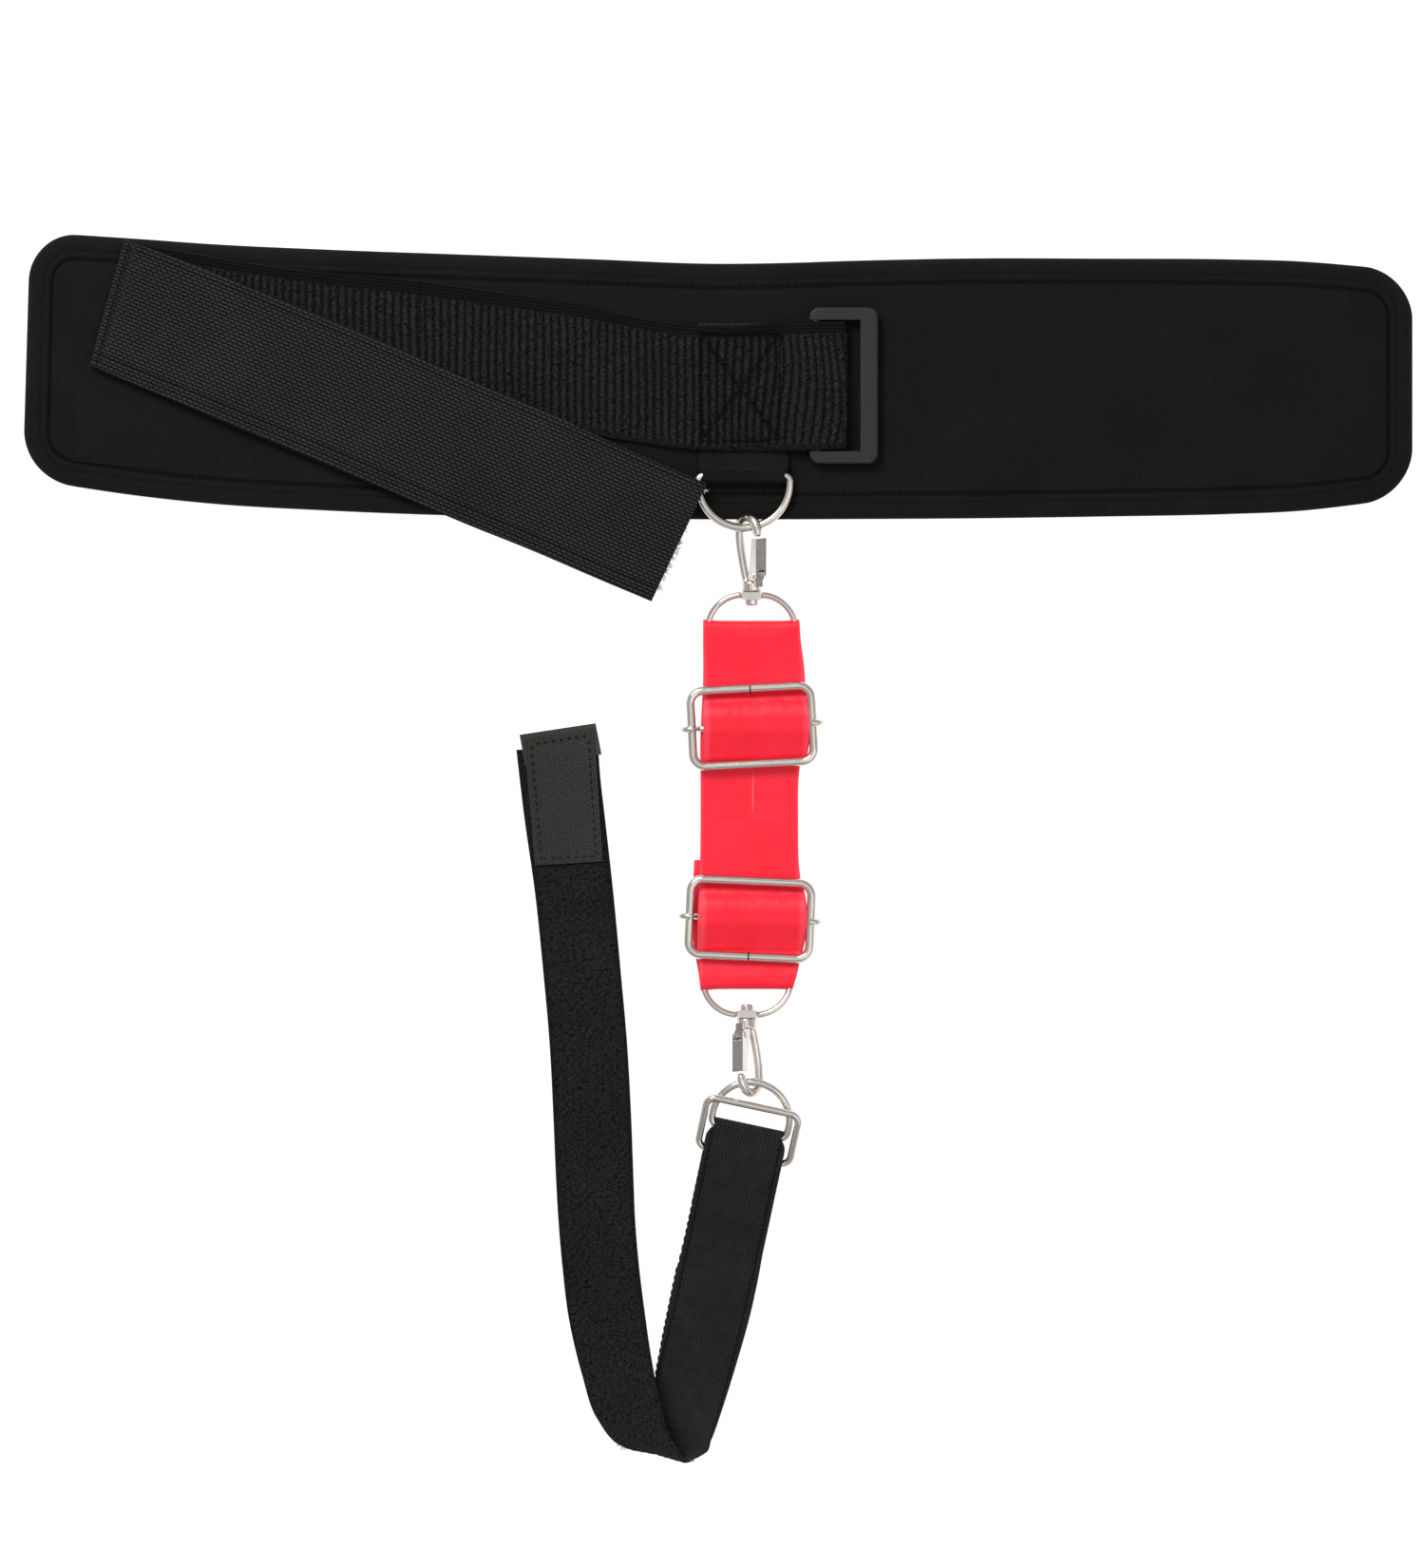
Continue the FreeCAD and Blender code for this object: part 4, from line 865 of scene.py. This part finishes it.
def build_box_stitches():
    """Thread of the sewn rectangle and cross, following the strap's surface."""
    corners = {"a": (BOX_LEFT, -BOX_HALF), "b": (BOX_RIGHT, -BOX_HALF), "c": (BOX_RIGHT, BOX_HALF),
               "d": (BOX_LEFT, BOX_HALF)}
    rings = []
    for one, two in ("ab", "bc", "cd", "da", "ac", "bd"):
        line = even(np.array([corners[one], corners[two]]), 0.5)
        rings += stitch_row(at_height(line, lower_height(line[:, 0]) + 0.22), *BOX_STITCH)
    mount(join_rings("closure_box_stitching", rings, BLACK_THREAD), "loop_elastic", "waist_centre")


def row_relief(along, a):
    """Lengthwise rows of short stitches, with darker lines beside the selvedges."""
    in_from_low = a + STRAP_WIDTH / 2
    row = np.abs(np.cos(math.pi * (a + 0.12 * ripple(along, a, 60.0, 41)) / ROW)) ** 0.9
    lines = 0.22 * groove(in_from_low - 4.9, 0.4) + 0.14 * groove(in_from_low - 2.1, 0.3)
    return 0.2 * row - 0.05 - lines - 0.16 * groove(STRAP_WIDTH - in_from_low - 2.1, 0.35)


def upper_centre(step):
    """Centre line of the free half of the strap, from the crown of the fold: (along, height)."""
    end_z = UPPER_Z + 2.6
    corners = [(-2.4, UPPER_Z - 1.1, 0), (-1.3, UPPER_Z - 0.1, 1.2), (3.0, UPPER_Z, 3),
               (UPPER_LENGTH - 45, UPPER_Z, 60), (UPPER_LENGTH - 14, end_z, 40), (UPPER_LENGTH, end_z, 0)]
    return rounded(corners, step)


def upper_edge(line, side, wave=0.0):
    """Plan edge of the free half; at the fold it is cut along the fold's own line."""
    half = side * STRAP_WIDTH / 2
    start = -half * math.tan(math.radians(FOLD_TURN - UPPER_TURN))
    along = line[:, 0] + (start + 3.1) * unit(1 - line[:, 0] / 60.0)
    swell = 0.0
    if side > 0:
        swell = 0.4 + 2.3 * np.sin(math.pi * unit(line[:, 0] / UPPER_LENGTH) ** 0.7)
        along = along + 2.2 * unit(1 - (UPPER_LENGTH - line[:, 0]) / 50.0)
    across = np.full_like(along, half) + swell + wave * ripple(along, 0 * along, 70.0, 44 if side > 0 else 43)
    return at_height(turned(columns_of(along, across), UPPER_TURN) + FOLD, line[:, 1])


def build_upper_layer():
    """The free half in two pieces, with the hook tape and the frayed cut at its tip."""
    line = upper_centre(0.9)
    first, second = (upper_edge(line, side, 0.25) for side in (-1, 1))
    x_middle = (first[:, 0] + second[:, 0]) / 2
    along = lengths_along((first + second) / 2)
    split = int(np.argmin(np.abs(x_middle - LEFT_PART)))
    run_bends = bend_x("closure_strap_root", "closure_strap_middle", LEFT_REST, LEFT_PART)
    parts = (("closure_free_run", slice(0, split + 1), run_bends, ("closure_strap_upper_run",)),
             ("closure_free_tip", slice(split, None), TIP_BENDS,
              ("closure_strap_upper_middle", "closure_strap_tip")))
    for name, part, bends, stands_for in parts:
        piece = strap(name, first[part], second[part], 1.35, [DASH_CLOTH, UNDER_CLOTH], columns=250,
                      relief=row_relief, along=along[part])
        mount(piece, "ribbed_elastic", bends, *stands_for)
    build_hook_patch(line)
    build_tip_fray(first[-1], second[-1])


def build_hook_patch(line):
    """Hook tape sewn under the strap's tip."""
    tape = line[line[:, 0] > UPPER_LENGTH - 60] - (1.5, 1.15)
    first, second = (upper_edge(tape, side) for side in (-0.91, 0.91))
    piece = strap("closure_hook_tape", first, second, 0.6, [TAPE_BORDER, HOOK_TAPE], columns=60)
    mount(piece, "hook_tape", TIP_BENDS, "closure_hook_patch")


def fray(rng, start, way, spread, count, length, radius):
    """A tuft of short loose fibres."""
    rings = []
    for _ in range(count):
        root = start + rng.normal(0, 1, 3) * spread
        outward = way + rng.normal(0, 0.45, 3)
        outward /= np.linalg.norm(outward)
        curl = rng.normal(0, 0.5, 3)
        size = length * rng.uniform(0.4, 1.2)
        t = np.linspace(0, 1, 6)[:, None]
        line = root + outward * t * size + curl * t * t * size * 0.5
        line[:, 2] = np.maximum(line[:, 2], 0.4)
        rings.append(tube(line, radius, sides=5, taper=0.5))
    return rings


def build_tip_fray(first, second):
    """Pale fibres at the raw cut end of the strap, thickest at its lower half."""
    rng = np.random.default_rng(5)
    rings = []
    way = heading(UPPER_TURN)
    for share in np.concatenate((rng.uniform(0.1, 0.5, 26), rng.uniform(0.5, 1.0, 6))):
        spot = first + (second - first) * share
        rings += fray(rng, spot + way * 0.1, way, np.array((0.2, 0.35, 0.5)), 4, 1.3, 0.15)
    mount(join_rings("closure_tip_fray", rings, PALE_THREAD), "ribbed_elastic", TIP_BENDS)


def build_fold():
    """Soft turn at the left end where the strap doubles back over itself."""
    rise = (UPPER_Z - LOWER_Z) / 2
    reach = -rise - 0.2
    corners = [(3.2, LOWER_Z, 0), (reach, LOWER_Z, rise), (reach, UPPER_Z, rise), (3.0, UPPER_Z, 0)]
    line = rounded(corners, 0.25)
    edges = []
    for side in (1, -1):
        across = np.full(len(line), side * (STRAP_WIDTH / 2 - 0.4))
        edges.append(at_height(turned(columns_of(line[:, 0], across), FOLD_TURN) + CROWN, line[:, 1]))
    piece = strap("closure_fold_turn", *edges, 1.5, [DASH_CLOTH], columns=250, relief=row_relief)
    bends = ("waist_left_end", "closure_strap_root", (*CROWN, LOWER_Z), (*CROWN, UPPER_Z))
    mount(piece, "ribbed_elastic", bends, "closure_strap_fold")


# -------- ring tab

# Middle (y, z) of the D-ring's bar, the pad's height beside it and the tab's thickness
RING_BAR = (-34.6, 8.9)
PAD_TOP_Z = 6.1
TAB_THICKNESS = 1.15


def build_tab():
    """Webbing tab that holds the D-ring at the pad's lower edge."""
    low_corner, high_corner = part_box("d_ring_tab")
    bar_y, bar_z = RING_BAR
    low = PAD_TOP_Z + TAB_THICKNESS / 2
    wrap = bar_z - low
    turn = wrap * 0.98
    corners = [(-21.6, 5.2, 0), (-28.0, 5.4, 2), (-31.2, low, 2), (bar_y - wrap, low, turn),
               (bar_y - wrap, bar_z + wrap, turn), (bar_y + 1.9, bar_z + wrap, 2), (-26.5, 6.6, 2),
               (-21.6, 6.5, 0)]
    line = rounded(corners, 0.3)
    pinch = 1.6 * np.exp(-((line[:, 0] - bar_y) / 2.4) ** 2)
    edges = [columns_of(x - side * pinch, line[:, 0], line[:, 1])
             for x, side in ((high_corner[0] / MM, 1), (low_corner[0] / MM, -1))]

    def relief(along, a):
        return 0.05 * waves(along, TAB_RIB) + 0.03 * ripple(along, a, 6.0, 51)

    piece = strap("ring_tab_webbing", *edges, TAB_THICKNESS, [TAB_CLOTH], columns=50, relief=relief)
    mount(piece, "black_webbing", "waist_centre", "d_ring_tab")


# -------- leg band

BAND_X = 12.6
BAND_HALF = 19.0
BAND_THICKNESS = 1.3
BAND_FRONT_Z = 2.45
BAIL_RADIUS = 1.3
BAIL_Z = 3.0
SLIDER_BAR_TOP = 4.5 + 1.25
BAND_PARTING = -169.0
# The band's two edges, as (y, x)
BAND_LEFT = ((-90, -6.2), (-95, -6.3), (-112, -6.3), (-140, -7.4), (-152, -7.3), (-169, -7.3), (-184, -7.5),
             (-200, -8.3), (-218, -8.4), (-229, -7.4), (-234, -7.3))
BAND_RIGHT = ((-90, 31.3), (-95, 31.5), (-112, 33.4), (-140, 32.4), (-152, 31.0), (-169, 30.8), (-184, 31.0),
              (-200, 32.5), (-218, 32.2), (-229, 30.2), (-234, 28.8))


def table(rows, at):
    """Smooth values at some stations from a list of (station, value) in either order."""
    rows = np.array(sorted(rows), float)
    return spline(rows[:, 0], rows[:, 1], at)


def bar_of(node, side):
    """Middle y of the straight bar of a bail, which is at its end nearer the other bail."""
    low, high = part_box(node)
    return low[1] / MM + BAIL_RADIUS if side > 0 else high[1] / MM - BAIL_RADIUS


def band_line(bar_y, side, start, finish):
    """Run of the band in (y, z): along the front, over the bail's bar and back underneath."""
    wrap = BAIL_RADIUS + 0.1 + BAND_THICKNESS / 2
    turn = wrap * 0.98
    corners = [(start, BAND_FRONT_Z, 0), (bar_y - side * 17.0, BAND_FRONT_Z, 24),
               (bar_y - side * 2.4, BAIL_Z + wrap, 5), (bar_y + side * wrap, BAIL_Z + wrap, turn),
               (bar_y + side * wrap, BAIL_Z - wrap, turn), (finish, BAIL_Z - wrap, 0)]
    return rounded(corners, 0.5)


def build_band_end(name, node, side, finish, bends, stands_for, drift):
    """One half of the leg band with its turn round a bail; drift moves its back layer aside."""
    bar_y = bar_of(node, side)
    line = band_line(bar_y, side, BAND_PARTING, finish)
    y = line[:, 0]
    front = np.arange(len(y)) < int(np.argmax(y * side))
    left = table(BAND_LEFT, y)
    right = table(BAND_RIGHT, y)
    ease = unit((bar_y + side * 2 - y) * side / 25.0)
    left = np.where(front, left, left + drift * ease - 0.1)
    right = np.where(front, right, np.minimum(right, 31.0) - max(0.0, drift) * 3.0 + min(0.0, drift) * ease)
    edges = [columns_of(x, y, line[:, 1]) for x in (left, right)][::-side]
    piece = strap(name, *edges, BAND_THICKNESS, [RED_CREASED if side > 0 else RED], columns=44,
                  along=lengths_along(line))
    lift_corners(piece, bar_y, side)
    mount(piece, "red_elastomer", bends, *stands_for)


def lift_corners(piece, bar_y, side):
    """Draws the band's corners up the rounded corners of the bail."""
    for vertex in piece.data.vertices:
        x = vertex.co.x / MM - BAND_X
        near = max(0.0, 1 - abs(vertex.co.y / MM - bar_y) / 6.0)
        pull = min(1.0, abs(x) / BAND_HALF) ** 6
        vertex.co.y += side * (1.3 * pull - 0.9) * near * MM


def build_bulge(name, centre_y, turn, body, node, width_left, width_right):
    """Front layer of the band where it swells over the adjuster's bar."""
    foot = BAND_FRONT_Z + BAND_THICKNESS / 2 + 0.45
    crest = SLIDER_BAR_TOP + 1.5
    corners = [(-12.8, foot - 0.4, 0), (-9.8, foot + 0.5, 4), (-1.5, crest - 0.3, 9), (5.4, crest, 9),
               (9.4, foot + 1.0, 4), (12.8, foot - 0.4, 0)]
    line = rounded(corners, 0.3)
    y = line[:, 0]
    bow = np.cos(np.clip(y / 13.0, -1, 1) * math.pi / 2)
    edges = []
    for x in (BAND_X + width_right + 1.8 * bow, BAND_X - width_left - 0.5 * bow):
        flat = turned(columns_of(x, centre_y + y), turn, (BAND_X, centre_y))
        edges.append(at_height(flat, line[:, 1]))
    mount(strap(name, *edges, 1.1, [RED], columns=50), "red_elastomer", body, node)


def build_band():
    """The two halves of the leg band and its two swells."""
    build_band_end("leg_band_upper", "upper_bail", 1, -150.0,
                   bend_y("band_upper", "band_middle", -150.0, BAND_PARTING),
                   ("leg_band_upper_loop", "leg_band_upper_run"), 0.6)
    build_band_end("leg_band_lower", "lower_bail", -1, -184.0,
                   bend_y("band_middle", "band_lower", BAND_PARTING, -188.0),
                   ("leg_band_lower_loop", "leg_band_lower_run", "leg_band_middle"), -2.2)
    build_bulge("upper_band_swell", -131.9, 1.0, "upper_slider_bar", "upper_band_bulge", 18.3, 21.2)
    build_bulge("lower_band_swell", -206.9, -1.0, "lower_slider_bar", "lower_band_bulge", 20.3, 20.0)


# -------- ankle strap

ANKLE_X = 11.3
ANKLE_Y = -289.7
ANKLE_TURN = -12.0
ANKLE_HALF = 15.5
ANKLE_BAR_Z = 3.3
ANKLE_BAR_RADIUS = 1.5
WEB_THICKNESS = 1.3
# Pairs of edge points (low edge, high edge) from the end of the flat run, round the foot, up to the free end
ANKLE_EDGES = (
    ((-16.4, -342.3, 1.05), (14.9, -348.8, 1.05)), ((-19.7, -358.1, 0.95), (12.0, -361.7, 1.6)),
    ((-22.8, -374.0, 0.95), (6.9, -379.6, 4.0)), ((-24.9, -389.0, 0.95), (1.2, -397.3, 9.5)),
    ((-23.2, -403.5, 0.95), (-3.2, -408.4, 18.5)), ((-18.9, -412.0, 0.95), (-6.2, -413.4, 23.8)),
    ((-14.3, -416.4, 0.9), (-11.5, -415.6, 25.4)), ((-25.7, -414.6, 0.95), (-16.2, -411.8, 24.3)),
    ((-37.8, -412.2, 0.95), (-19.6, -406.2, 21.0)), ((-47.6, -401.5, 0.95), (-22.9, -394.5, 15.5)),
    ((-53.4, -384.7, 0.95), (-26.0, -379.4, 10.0)), ((-58.4, -364.0, 1.0), (-28.6, -362.5, 5.0)),
    ((-61.2, -342.0, 1.1), (-31.2, -342.0, 2.2)), ((-62.6, -326.0, 1.2), (-32.6, -326.0, 1.3)),
    ((-63.7, -307.0, 1.2), (-33.4, -307.0, 1.2)), ((-64.6, -285.5, 1.2), (-34.2, -285.5, 1.2)),
    ((-66.1, -256.3, 1.2), (-35.8, -256.3, 1.2)), ((-68.7, -226.7, 1.2), (-38.4, -226.7, 1.2)),
    ((-71.8, -197.0, 1.2), (-41.2, -197.0, 1.2)), ((-76.0, -167.4, 1.2), (-44.5, -167.4, 1.2)),
    ((-77.8, -152.6, 1.2), (-46.2, -152.6, 1.2)), ((-79.1, -141.0, 1.2), (-47.1, -141.0, 1.2)))
FOOT_ROW = 6
LOOP_FACE_ROW = 12
FOOT_MIDDLE = np.array((-12.6, -415.6, 0.0))
FOOT_REACH = 8.0
TIP_SPLIT = -248.0
SCALLOP = 0.45
SCALLOP_PITCH = 2.9


def scallops(line):
    """How far the webbing's looped edge stands out along a line."""
    return SCALLOP * np.abs(np.sin(math.pi * lengths_along(line) / SCALLOP_PITCH))


def ankle_edge(across, line):
    """Edge of the doubled webbing, from its place across the width and its line (up from the bar, height)."""
    plan = turned(columns_of(across, line[:, 0]), ANKLE_TURN) + (ANKLE_X, ANKLE_Y)
    return at_height(plan, line[:, 1])


def webbing_relief(along, a):
    """Crosswise ribs of the webbing, with a line inside each selvedge."""
    picks = 0.6 + 0.4 * waves(a, WEB_PICK)
    selvedge = 0.08 * groove(ANKLE_HALF - np.abs(a) - 2.0, 0.4)
    return 0.09 * waves(along, WEB_RIB) * picks - selvedge + 0.01 * ripple(along, a, 9.0, 61)


def fuzzy_relief(along, a):
    """Close loops of the strap's soft face, sparse at its edges."""
    inside = unit((ANKLE_HALF - 1.3 - np.abs(a)) / 1.5)
    tangle = 0.13 * ripple(along, a, 2.2, 62) + 0.15 * ripple(along, a, 1.2, 63)
    wander = ripple(along, a, 5.0, 65)
    loops = 0.12 * np.cos(2 * math.pi * along / 1.7 + 1.6 * wander)
    loops = loops * np.cos(2 * math.pi * a / WEB_PICK - 1.3 * wander)
    patches = 0.5 + 0.5 * ripple(along, a, 24.0, 64)
    return inside * (0.25 + (tangle + loops) * (0.75 + 0.4 * patches))


def build_ankle_run():
    """Webbing doubled round the D-ring's bar, on down to where the foot begins."""
    wrap = ANKLE_BAR_RADIUS + 0.15 + WEB_THICKNESS / 2
    turn = wrap * 0.98
    low = ANKLE_BAR_Z - wrap
    over = low + 1.4
    crest = ANKLE_BAR_Z + wrap
    corners = [(-32.0, low, 0), (wrap, low, turn), (wrap, crest, turn), (-12.1, crest, 6),
               (-22.0, over + 0.2, 10), (-36.0, over, 10), (-42.0, low + 0.1, 10), (-55.0, low + 0.05, 0)]
    line = rounded(corners, 0.33)
    near_bar = np.exp(-((line[:, 0] - 0.5) / 2.6) ** 2)
    share = unit((-44.0 - line[:, 0]) / 11.0)[:, None]
    share = share * share * (3 - 2 * share) * (np.arange(len(line)) > len(line) / 2)[:, None]
    edges = []
    for across, meets in ((ANKLE_HALF - 2.4 * near_bar, ANKLE_EDGES[0][1]),
                          (-ANKLE_HALF + 2.6 * near_bar - scallops(line), ANKLE_EDGES[0][0])):
        edge = ankle_edge(across, line)
        edges.append(edge + (np.array(meets) - edge[-1]) * share)
    piece = strap("ankle_webbing_run", *edges, WEB_THICKNESS, [WEB_CLOTH], columns=44,
                  relief=webbing_relief, under_relief=webbing_relief)
    mount(piece, "black_webbing", "ankle_run", "ankle_strap_run")


def ankle_edges():
    """Low and high edges of the strap from the flat run to its free end, and the cuts at the named rows."""
    pairs = np.array(ANKLE_EDGES)
    run = lengths_along(pairs.mean(axis=1))
    at = np.linspace(0, run[-1], int(run[-1] / 0.34))
    cuts = [int(np.argmin(np.abs(at - run[row]))) for row in (FOOT_ROW, LOOP_FACE_ROW)]
    return spline(run, pairs[:, 0], at), spline(run, pairs[:, 1], at), at, cuts


def foot_bend(sideways):
    """A bend at the upright line of the foot, weighed along one side of the turned strap."""
    way = np.array((-0.6, sideways, 0.0)) * FOOT_REACH
    return "ankle_run", "ankle_free", FOOT_MIDDLE - way, FOOT_MIDDLE + way


def build_ankle_turn():
    """The webbing stands up on edge, turns back and lies down again with its loop face up."""
    low, high, at, (foot, loops) = ankle_edges()
    low[:foot, 0] -= scallops(low)[:foot] * unit((foot - np.arange(foot)) / 60.0)
    thick = np.interp(at, (at[foot], at[loops]), (1.4, 1.8))
    tip = bend_y("ankle_free", "ankle_tip", TIP_SPLIT - 4, TIP_SPLIT + 32)
    parts = (("ankle_webbing_foot", slice(0, foot + 1), "black_webbing", foot_bend(-0.8),
              ("ankle_strap_foot",)),
             ("ankle_loop_foot", slice(foot, loops + 1), "black_webbing", foot_bend(0.8),
              ("ankle_strap_free_foot",)),
             ("ankle_loop_face", slice(loops, None), "loop_webbing", tip,
              ("ankle_strap_free_run", "ankle_strap_tip")))
    for name, part, slot, bends, stands_for in parts:
        piece = strap(name, low[part], high[part], thick[part], [WEB_CLOTH, FINE_LOOP_CLOTH], columns=90,
                      relief=webbing_relief, under_relief=fuzzy_relief, along=at[part])
        mount(piece, slot, bends, *stands_for)
    build_edge_fray()


# Each tuft's name, body, slot, roots, way, spread of the roots, count, length and radius
TUFTS = (
    ("ankle_edge_fray", "ankle_free", "loop_webbing",
     ((-40.9, -410.0, 1.4), (-39.5, -411.8, 1.4), (-37.8, -412.9, 1.4), (-36.6, -413.2, 1.4)),
     (-0.3, -0.9, 0.1), (0.4, 0.2, 0.4), 6, 1.0, 0.13),
    ("ankle_foot_fray", "ankle_run", "black_webbing",
     ((-11.8, -415.9, 24.2), (-10.9, -415.9, 24.2), (-10.0, -415.9, 24.2)),
     (0.1, -0.9, 0.1), (0.3, 0.2, 0.3), 5, 0.9, 0.13),
)


def build_edge_fray():
    """Pale broken fibres along the strap's lowest edge."""
    rng = np.random.default_rng(9)
    for name, body, slot, roots, way, spread, *size in TUFTS:
        rings = []
        for root in roots:
            rings += fray(rng, np.array(root), np.array(way), np.array(spread), *size)
        mount(join_rings(name, rings, PALE_THREAD), slot, body)


def quad_strap(name, corners, height, thickness, materials, relief=None, rows=110):
    """Flat strip between four plan corners: low left, low right, top right, top left."""
    low_left, low_right, top_right, top_left = (np.array(corner) for corner in corners)
    share = np.linspace(0, 1, rows)[:, None]
    first = at_height(low_right + (top_right - low_right) * share, height)
    second = at_height(low_left + (top_left - low_left) * share, height)
    return strap(name, first, second, thickness, materials, columns=90, relief=relief)


# Plan corners of the hem, the hook tape and its sewing: low left, low right, top right, top left
TAPE = ((-71.7, -186.1), (-45.3, -184.4), (-48.7, -132.9), (-76.0, -137.2))
HEM = ((-75.6, -147.2), (-45.8, -142.9), (-48.1, -130.7), (-77.8, -135.2))
TAPE_SEWING = ((-69.3, -183.4), (-47.9, -182.4), (-51.0, -135.6), (-73.2, -139.0))


def build_ankle_patch():
    """Short hem over the strap's end with hook tape sewn on top."""
    length = TAPE[3][1] - TAPE[0][1]

    def relief(along, a):
        inset = np.minimum(np.minimum(along - 1.0, length - 4.0 - along), 13.4 - np.abs(a) - 2.6)
        bristle = 0.5 + 0.5 * waves(along, 1.7) * waves(a, 1.3)
        return unit(inset / 0.6) * (0.1 + 0.16 * bristle)

    def hem_relief(along, a):
        return 0.08 * waves(along, TAB_RIB) * waves(a, WEB_PICK)

    hem = quad_strap("ankle_hem", HEM, 2.45, 0.8, [TAPE_BORDER], hem_relief, rows=50)
    tape = quad_strap("ankle_hook_tape", TAPE, 3.0, 0.7, [HOOK_TAPE, TAPE_BORDER], relief)
    mount(hem, "hook_tape", "ankle_tip")
    mount(tape, "hook_tape", "ankle_tip", "ankle_hook_patch")
    rings = []
    corners = at_height(np.array(TAPE_SEWING), 3.45)
    for one, two in zip(corners, np.roll(corners, -1, axis=0)):
        rings += stitch_row(even((one, two), 0.5), *TAPE_STITCH)
    mount(join_rings("ankle_tape_stitching", rings, BLACK_THREAD), "hook_tape", "ankle_tip")


# -------- hardware

def paint_hardware():
    """Puts the metals and the plastic on the CAD parts that are shown as they are."""
    slots = {"nickel_wire": WIRE_NICKEL, "nickel_casting": CAST_NICKEL, "spring_steel": SPRING_METAL,
             "loop_plastic": LOOP_PLASTIC}
    for part in frame["record"]["subparts"]:
        node = frame["nodes"][part["node"]]
        material = slots.get(part["material_slot"])
        if material and not node.hide_render:
            node.data.materials.clear()
            node.data.materials.append(material)


# Each seam's name, body and frame, the side of the frame it is on and the frame's slope in degrees
SEAMS = (("upper_slider_seam", "upper_slider", "upper_slider_frame", 1, 3.0),
         ("lower_slider_seam", "lower_slider", "lower_slider_frame", -1, -2.5))
SEAM_RADIUS = 1.86
SEAM_HALF_WIDTH = 0.3
SLIDER_WIRE = 1.75


def build_seams():
    """Butt joint of each slider's bent wire, in the long side nearest its bail, drawn as a near-black band:
    painted shade for the joint's shadowed gap.
    """
    for name, body, node, side, slope in SEAMS:
        low, high = np.array(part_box(node)) / MM
        way = heading(slope)
        reach = (high[1] - low[1]) / 2 - SLIDER_WIRE - abs(way[1]) * (high[0] - low[0]) / 2.4
        place = (low + high) / 2 + side * reach * np.array((-way[1], way[0], 0.0))
        ring = tube([place - way * SEAM_HALF_WIDTH, place + way * SEAM_HALF_WIDTH], SEAM_RADIUS, sides=28)
        mount(join_rings(name, [ring], SEAM_SHADOW_METAL, sharp=30.0), "nickel_wire", body)


# -------- stage

# Brightness of the surroundings seen in the metal, from straight down (0) to straight up (1)
REFLECTIONS = ((0.0, 0.2), (0.14, 0.24), (0.26, 0.6), (0.42, 1.0), (0.6, 0.42), (0.8, 0.4), (0.95, 1.1))
# Each light's name, place, size in metres and power in watts
LIGHTS = (("key", (-0.6, 0.9, 1.25), 0.7, 22.0), ("fill", (0.9, -0.7, 1.4), 1.2, 4.0))
LIGHTS_AIM = np.array((0.0, -0.15, 0.0))
FLOOR_SIDE = 3.0
FLOOR_Z = -0.0006


def build_stage():
    """Pale floor, soft even light, and reflections with a darker horizon for the metal."""
    collection = bpy.context.scene.collection
    floor = bpy.data.meshes.new("floor")
    corners = [(x * FLOOR_SIDE, y * FLOOR_SIDE, 0) for x, y in ((-1, -1), (1, -1), (1, 1), (-1, 1))]
    floor.from_pydata(corners, [], [(0, 1, 2, 3)])
    pale = Graph("pale_floor").finish(Base_Color=grey(0.42), Roughness=0.9, Specular_IOR_Level=0.1,
                                      Emission_Color=grey(1.0), Emission_Strength=0.85)
    floor.materials.append(pale)
    thing = bpy.data.objects.new("floor", floor)
    thing.location.z = FLOOR_Z
    collection.objects.link(thing)

    g = Graph("studio", "worlds")
    up = g.split(g.node("ShaderNodeTexCoord").outputs["Generated"])["Z"]
    ramp = g.node("ShaderNodeValToRGB", {"Fac": up})
    stops = ramp.color_ramp.elements
    for stop, (position, level) in zip(stops, (REFLECTIONS[0], REFLECTIONS[-1])):
        stop.position = position
        stop.color = grey(level)
    for position, level in REFLECTIONS[1:-1]:
        stops.new(position).color = grey(level)
    reflected = g.node("ShaderNodeLightPath").outputs["Is Glossy Ray"]
    colour = g.mix(reflected, grey(0.62), ramp.outputs["Color"])
    bpy.context.scene.world = g.finish(Color=colour, Strength=0.85)

    for name, place, size, watts in LIGHTS:
        light = bpy.data.lights.new(name, "AREA")
        light.size = size
        light.energy = watts
        lamp = bpy.data.objects.new(name, light)
        lamp.location = place
        lamp.rotation_euler = Vector(LIGHTS_AIM - place).to_track_quat("-Z", "Y").to_euler()
        collection.objects.link(lamp)


CAMERA_PLACE = (-0.0026, -0.1544, 3.0)
SENSOR_WIDTH = 36.0
VIEW_HEIGHT = 0.6111


def build_camera():
    """Looking straight down on the belt."""
    camera = bpy.data.cameras.new("camera")
    camera.sensor_width = SENSOR_WIDTH
    camera.lens = SENSOR_WIDTH * CAMERA_PLACE[2] / VIEW_HEIGHT
    camera.clip_end = 20.0
    thing = bpy.data.objects.new("camera", camera)
    thing.location = CAMERA_PLACE
    bpy.context.scene.collection.objects.link(thing)
    bpy.context.scene.camera = thing
    bpy.context.scene.view_settings.view_transform = "Standard"


for build in (build_pad, build_end_panel, build_lower_layer, build_upper_layer, build_fold, build_tab,
              build_band, build_ankle_run, build_ankle_turn, build_ankle_patch, paint_hardware, build_seams,
              build_stage, build_camera):
    build()
